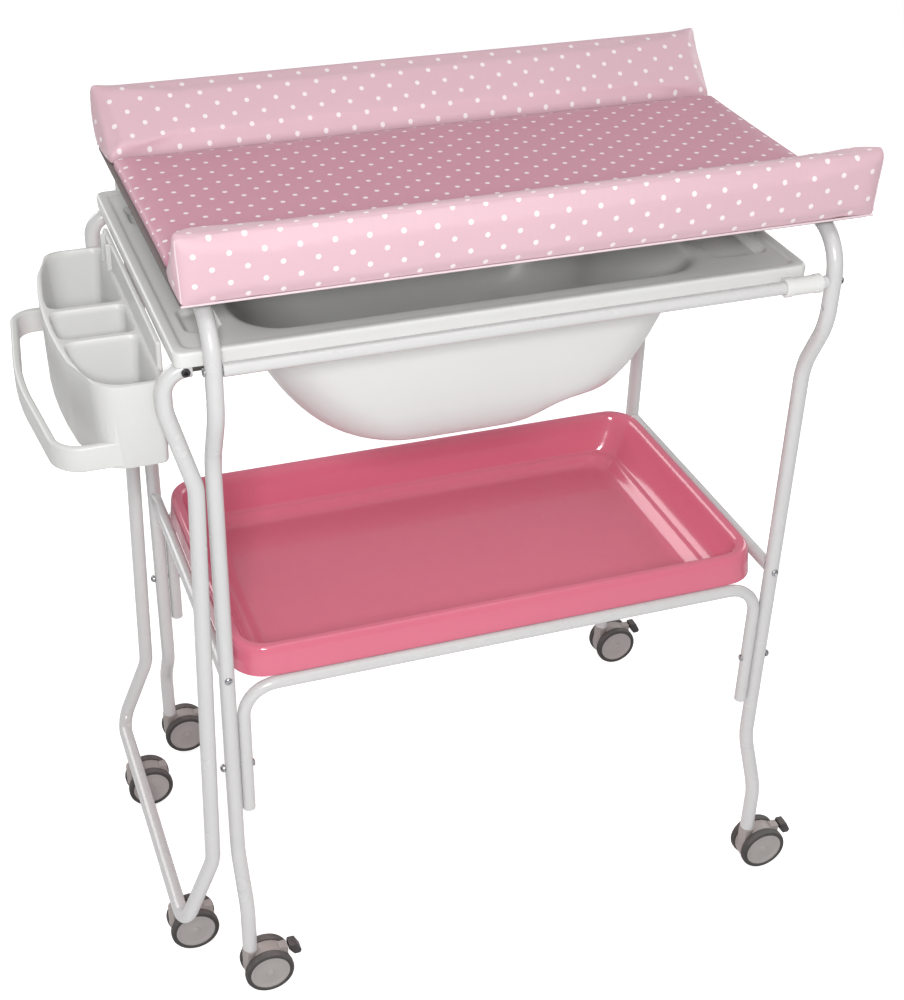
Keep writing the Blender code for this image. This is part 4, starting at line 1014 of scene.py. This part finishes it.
def coated_cotton(name, colour, phase, dot_colour=(0.90, 0.84, 0.86)):
    """The printed cover; phase shifts the print along and across the piece."""
    made = bpy.data.materials.new(name)
    made.use_nodes = True
    tree = made.node_tree
    shader = tree.nodes["Principled BSDF"]
    layout = tree.nodes.new("ShaderNodeUVMap")
    layout.uv_map = "cover"
    shifted = tree.nodes.new("ShaderNodeMapping")
    shifted.inputs["Location"].default_value = (*phase, 0.0)
    printed, cloth = use_group(tree, dots), use_group(tree, weave)
    wire(tree, (layout.outputs["UV"], shifted.inputs["Vector"]),
         (shifted.outputs["Vector"], printed.inputs["Place"]),
         (layout.outputs["UV"], cloth.inputs["Place"]))
    rubbed = tuple(min(1.0, channel * 1.2) for channel in colour)
    marked = use_group(tree, marks, Colour=(*colour, 1.0), Drift=0.07, Dust=0.04, Rub=0.10,
                       Rub_colour=(*rubbed, 1.0))
    wire(tree, (tree.nodes.new("ShaderNodeTexCoord").outputs["Object"], marked.inputs["Place"]))
    toned = blend_colour(tree, math_node(tree, "MULTIPLY", cloth.outputs["Tone"], 0.34),
                         marked.outputs["Colour"], tuple(c * 0.72 for c in colour))
    base = blend_colour(tree, math_node(tree, "MULTIPLY", printed.outputs["Print"], 0.9), toned,
                        dot_colour)
    bump = tree.nodes.new("ShaderNodeBump")
    bump.inputs["Distance"].default_value = 0.00012
    roughness = math_node(tree, "MULTIPLY_ADD", cloth.outputs["Tone"], 0.16, 0.34)
    wire(tree, (base, shader.inputs["Base Color"]), (roughness, shader.inputs["Roughness"]),
         (cloth.outputs["Height"], bump.inputs["Height"]),
         (bump.outputs["Normal"], shader.inputs["Normal"]))
    shader.inputs["Sheen Weight"].default_value = 0.12
    shader.inputs["Sheen Roughness"].default_value = 0.4
    shader.inputs["Coat Weight"].default_value = 0.12
    shader.inputs["Coat Roughness"].default_value = 0.35
    return made


def swell(piece, voxel, most, pressure=4.0):
    """Remesh a cover, let cloth under pressure swell it, and cap how far a point moves."""
    apply_modifier(piece, "REMESH", mode="VOXEL", voxel_size=voxel)
    before = [vert.co.copy() for vert in piece.data.vertices]
    cloth = piece.modifiers.new("cloth", "CLOTH")
    cloth.settings.use_pressure = True
    cloth.settings.uniform_pressure_force = pressure
    cloth.settings.effector_weights.gravity = 0.0
    cloth.settings.quality = 5
    for number in range(1, 21):
        bpy.context.scene.frame_set(number)
    moved = piece.evaluated_get(bpy.context.evaluated_depsgraph_get()).to_mesh()
    after = [vert.co.copy() for vert in moved.vertices]
    piece.modifiers.remove(cloth)
    bpy.context.scene.frame_set(1)
    for vert, start, end in zip(piece.data.vertices, before, after):
        way = end - start
        vert.co = start + way * min(1.0, most / max(way.length, 1e-9))


def crease(piece, start, end, depth, width):
    """A soft fold in a cover along a line: a valley with a low ridge on either side."""
    start, end = Vector(start), Vector(end)
    line = end - start
    normals = [vert.normal.copy() for vert in piece.data.vertices]
    for vert, normal in zip(piece.data.vertices, normals):
        share = max(0.0, min(1.0, (vert.co - start).dot(line) / line.length_squared))
        away = (vert.co - start - line * share).length / width
        if away < 3:
            fade = math.sin(math.pi * min(1.0, 0.12 + share * 0.88)) ** 0.7
            vert.co -= normal * depth * fade * (math.exp(-away * away * 2.5)
                                                - 0.45 * math.exp(-(away - 1.3) ** 2 * 3))


def lay_out(piece, across):
    """Give the cover its flat layout, from a function of the place and the face's normal."""
    layout = piece.data.uv_layers.new(name="cover")
    for face in piece.data.polygons:
        for loop in face.loop_indices:
            point = piece.data.vertices[piece.data.loops[loop].vertex_index].co
            layout.data[loop].uv = across(point, face.normal)


mat_low, mat_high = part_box("pad_mat")
swell_room = 0.0016
mat = block((mat_high.x - mat_low.x - 2 * swell_room, mat_high.y - mat_low.y + 0.002,
             mat_high.z - mat_low.z - swell_room),
            ((mat_low.x + mat_high.x) / 2, 0, (mat_low.z + mat_high.z - swell_room) / 2),
            0.0058, 4)
mat.name = mat.data.name = "pad_mat_cover"
swell(mat, 0.0055, 0.0035)
for start_x, start_y, end_x, end_y, depth in (
        (mat_low.x + 0.004, -0.06, mat_low.x + 0.075, -0.10, 0.0010),
        (mat_low.x + 0.006, 0.05, mat_low.x + 0.09, 0.075, 0.0009),
        (mat_high.x - 0.085, 0.07, mat_high.x - 0.006, 0.055, 0.0009),
        (mat_low.x + 0.012, -0.148, mat_low.x + 0.060, -0.128, 0.0014)):
    crease(mat, (start_x, start_y, mat_high.z), (end_x, end_y, mat_high.z), depth, 0.006)
for vert in mat.data.vertices:
    vert.co.z = max(vert.co.z, mat_low.z)
apply_modifier(mat, "SMOOTH", factor=0.5, iterations=3)
apply_modifier(mat, "SUBSURF", levels=1, render_levels=1)
bpy.ops.object.shade_smooth()
lay_out(mat, lambda point, normal: (point.x + (point.z if abs(normal.x) > 0.7 else 0.0),
                                    point.y + (point.z if abs(normal.y) > 0.7 else 0.0)))
# Painted shade: the mat's copy of the cover is coloured darker and deeper than the wedges', as
# shade on the level mat.
dress(mat, coated_cotton("coated_cotton_mat_painted_shade", (0.60, 0.255, 0.35), (0.0100, -0.0023)))
stand_for(mat, "pad_mat", "changing_top")

# Painted light: the wedges' copy of the same cover is coloured paler than the mat's, as light on
# their faces.
painted_lit_wedge_cotton = coated_cotton("coated_cotton_wedge_painted_lit", (0.72, 0.475, 0.54), (-0.0102, -0.0054))
piping_cotton = hard_finish("piping_cotton", (0.74, 0.60, 0.64), 0.50, 0.10, grain=1400.0,
                            relief=0.00015, dust=0.1)
room = 0.0004
for name, side in (("front_bolster", -1), ("rear_bolster", 1)):
    low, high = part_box(name)
    outer, inner = (high.y, low.y) if side > 0 else (-low.y, -high.y)
    section = [(outer - room, low.z), (outer - room, high.z - 0.008),
               (outer - 0.007, high.z - room), (outer - 0.013, high.z - room - 0.001),
               (inner + 0.004, low.z + 0.014), (inner + 0.001, low.z)]
    ends = [[Vector((x, side * y, z)) for y, z in section]
            for x in (low.x + room, high.x - room)]
    wedge = lofted(name + "_cover", ends, solid=True)
    apply_modifier(wedge, "BEVEL", width=0.003, segments=3, limit_method="ANGLE",
                   angle_limit=math.radians(40))
    swell(wedge, 0.005, 0.0048)
    if side > 0:
        for rise, reach, depth in ((0.018, 0.050, 0.0022), (0.034, 0.038, 0.0018),
                                   (0.052, 0.026, 0.0014)):
            crease(wedge, (high.x - 0.003, inner + 0.010 + rise * 0.9, low.z + rise),
                   (high.x - reach, inner + 0.014 + rise * 0.8, low.z + rise + 0.012), depth,
                   0.0055)
        crease(wedge, (low.x + 0.003, inner + 0.012, low.z + 0.016),
               (low.x + 0.040, inner + 0.020, low.z + 0.030), 0.0016, 0.006)
    else:
        crease(wedge, (low.x + 0.003, -(inner + 0.012), low.z + 0.018),
               (low.x + 0.045, -(inner + 0.022), low.z + 0.030), 0.0018, 0.006)
        crease(wedge, (high.x - 0.004, -outer, low.z + 0.016),
               (high.x - 0.050, -outer, low.z + 0.024), 0.0008, 0.006)
    for vert in wedge.data.vertices:
        rise = max(0.0, (vert.co.z - low.z) / (high.z - low.z))
        end_share = (vert.co.x - (low.x + high.x) / 2) / ((high.x - low.x) / 2)
        vert.co.x += 0.006 * rise * end_share ** 5
        vert.co.z = max(vert.co.z, low.z)
        reach = outer - 0.0006 - side * vert.co.y
        if 0 < reach < 0.010 and vert.co.z < low.z + 0.009:
            vert.co.y += side * reach * (1 - (vert.co.z - low.z) / 0.009)
    apply_modifier(wedge, "SMOOTH", factor=0.5, iterations=3)
    apply_modifier(wedge, "SUBSURF", levels=1, render_levels=1)
    bpy.ops.object.shade_smooth()
    outline = [Vector(corner) for corner in (
        (outer, low.z), (outer, high.z - 0.006), (outer - 0.006, high.z),
        (outer - 0.013, high.z - 0.001), (inner, low.z + 0.012))]

    def unfolded(point, normal):
        """Along the table, and along the section from the ridge; ends by depth and height."""
        if abs(normal.x) > 0.7:
            return point.y * side, point.z - high.z
        place, start, best = Vector((side * point.y, point.z)), low.z - high.z, None
        for here, following in zip(outline, outline[1:]):
            run = following - here
            share = max(0.0, min(1.0, (place - here).dot(run) / run.length_squared))
            away = (place - here - run * share).length
            if best is None or away < best[0]:
                best = (away, start + run.length * share)
            start += run.length
        return point.x, best[1]

    lay_out(wedge, unfolded)
    dress(wedge, painted_lit_wedge_cotton)
    stand_for(wedge, name, "changing_top")

    def seam_along(seam_name, starts, radius, near, towards):
        """A piping cord that follows the cover's outermost points past each start."""
        towards = Vector(towards)
        route = []
        for start in starts:
            close = [vert.co for vert in wedge.data.vertices if near(vert.co, start)]
            route.append(max(close, key=towards.dot) - towards.normalized() * radius * 0.3)
        seam = bent_tube(seam_name, route, [0.02] * (len(route) - 2), radius)
        dress(seam, piping_cotton)
        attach(seam, "changing_top")

    heights = [low.z + 0.004 + (high.z - low.z - 0.012) * step / 6 for step in range(7)]
    for end, hand in (("left", -1), ("right", 1)):
        seam_along(name + "_" + end + "_piping", heights, 0.0010,
                   lambda point, z: abs(point.z - z) < 0.0025, (hand, side, 0))
    seam_z = low.z - 0.0008
    lower = bent_tube(name + "_lower_piping", [(low.x + 0.002, side * (outer - 0.0011), seam_z),
                                               (high.x - 0.002, side * (outer - 0.0011), seam_z)],
                      [], 0.0013)
    dress(lower, piping_cotton)
    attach(lower, "changing_top")

# ---- Studio -----------------------------------------------------------------------
# A plain white floor under an even white sky, one soft light beside the viewer, a weaker
# broad light overhead and two behind; the camera looks down on the table from front left.

floor_finish = hard_finish("studio_floor", (0.86, 0.86, 0.86), 0.75, dust=0.0, drift=0.0,
                           rub=0.0, relief=0.00002)
floor_shader = floor_finish.node_tree.nodes["Principled BSDF"]
floor_shader.inputs["Emission Color"].default_value = (1, 1, 1, 1)
floor_glow = 0.62
seen_glow = floor_finish.node_tree.nodes.new("ShaderNodeMath")
seen_glow.operation = "MULTIPLY"
seen_glow.inputs[1].default_value = floor_glow
path = floor_finish.node_tree.nodes.new("ShaderNodeLightPath")
floor_finish.node_tree.links.new(path.outputs["Is Camera Ray"], seen_glow.inputs[0])
floor_finish.node_tree.links.new(seen_glow.outputs[0], floor_shader.inputs["Emission Strength"])
floor_shader.inputs["Specular IOR Level"].default_value = 0.2
bpy.ops.mesh.primitive_circle_add(vertices=96, radius=24, fill_type="NGON")
floor = bpy.context.object
floor.name = "studio_floor"
dress(floor, floor_finish)

world = bpy.data.worlds.new("studio_sky")
bpy.context.scene.world = world
world.use_nodes = True
world.node_tree.nodes["Background"].inputs["Color"].default_value = (1.0, 1.0, 1.0, 1.0)
sky = world.node_tree.nodes["Background"]
seen_sky = world.node_tree.nodes.new("ShaderNodeMath")
seen_sky.operation = "MULTIPLY_ADD"
seen_sky.inputs[1].default_value, seen_sky.inputs[2].default_value = 0.62, 0.38
path = world.node_tree.nodes.new("ShaderNodeLightPath")
world.node_tree.links.new(path.outputs["Is Camera Ray"], seen_sky.inputs[0])
world.node_tree.links.new(seen_sky.outputs[0], sky.inputs["Strength"])
middle = (cad_box[0] + cad_box[1]) / 2
for name, place, size, power in (("front_light", (-0.70, -2.10, 1.98), 0.5, 44),
                                 ("high_light", (0.5, -1.0, 3.4), 1.4, 12),
                                 ("back_light", (-1.6, 2.6, 2.0), 1.6, 34),
                                 ("right_light", (2.7, 1.3, 1.8), 1.4, 20)):
    light = bpy.data.lights.new(name, "AREA")
    light.size = size
    light.energy = power
    lamp = bpy.data.objects.new(name, light)
    bpy.context.scene.collection.objects.link(lamp)
    aim = (middle - Vector(place)).to_track_quat("-Z", "Y").to_matrix().to_4x4()
    lamp.matrix_world = Matrix.Translation(place) @ aim

view = bpy.data.cameras.new("front_view")
view.sensor_fit = "HORIZONTAL"
view.sensor_width = 36.0
view.lens = 66.56
view.shift_x, view.shift_y = 0.0384, 0.0383
camera = bpy.data.objects.new("front_view", view)
bpy.context.scene.collection.objects.link(camera)
camera.matrix_world = (Matrix.Translation((-0.6091, -1.7436, 1.7087))
                       @ Matrix.Rotation(math.radians(-19.41), 4, "Z")
                       @ Matrix.Rotation(math.radians(90 - 33.45), 4, "X")
                       @ Matrix.Rotation(math.radians(0.80), 4, "Z"))
bpy.context.scene.camera = camera
bpy.context.scene.view_settings.view_transform = "Standard"
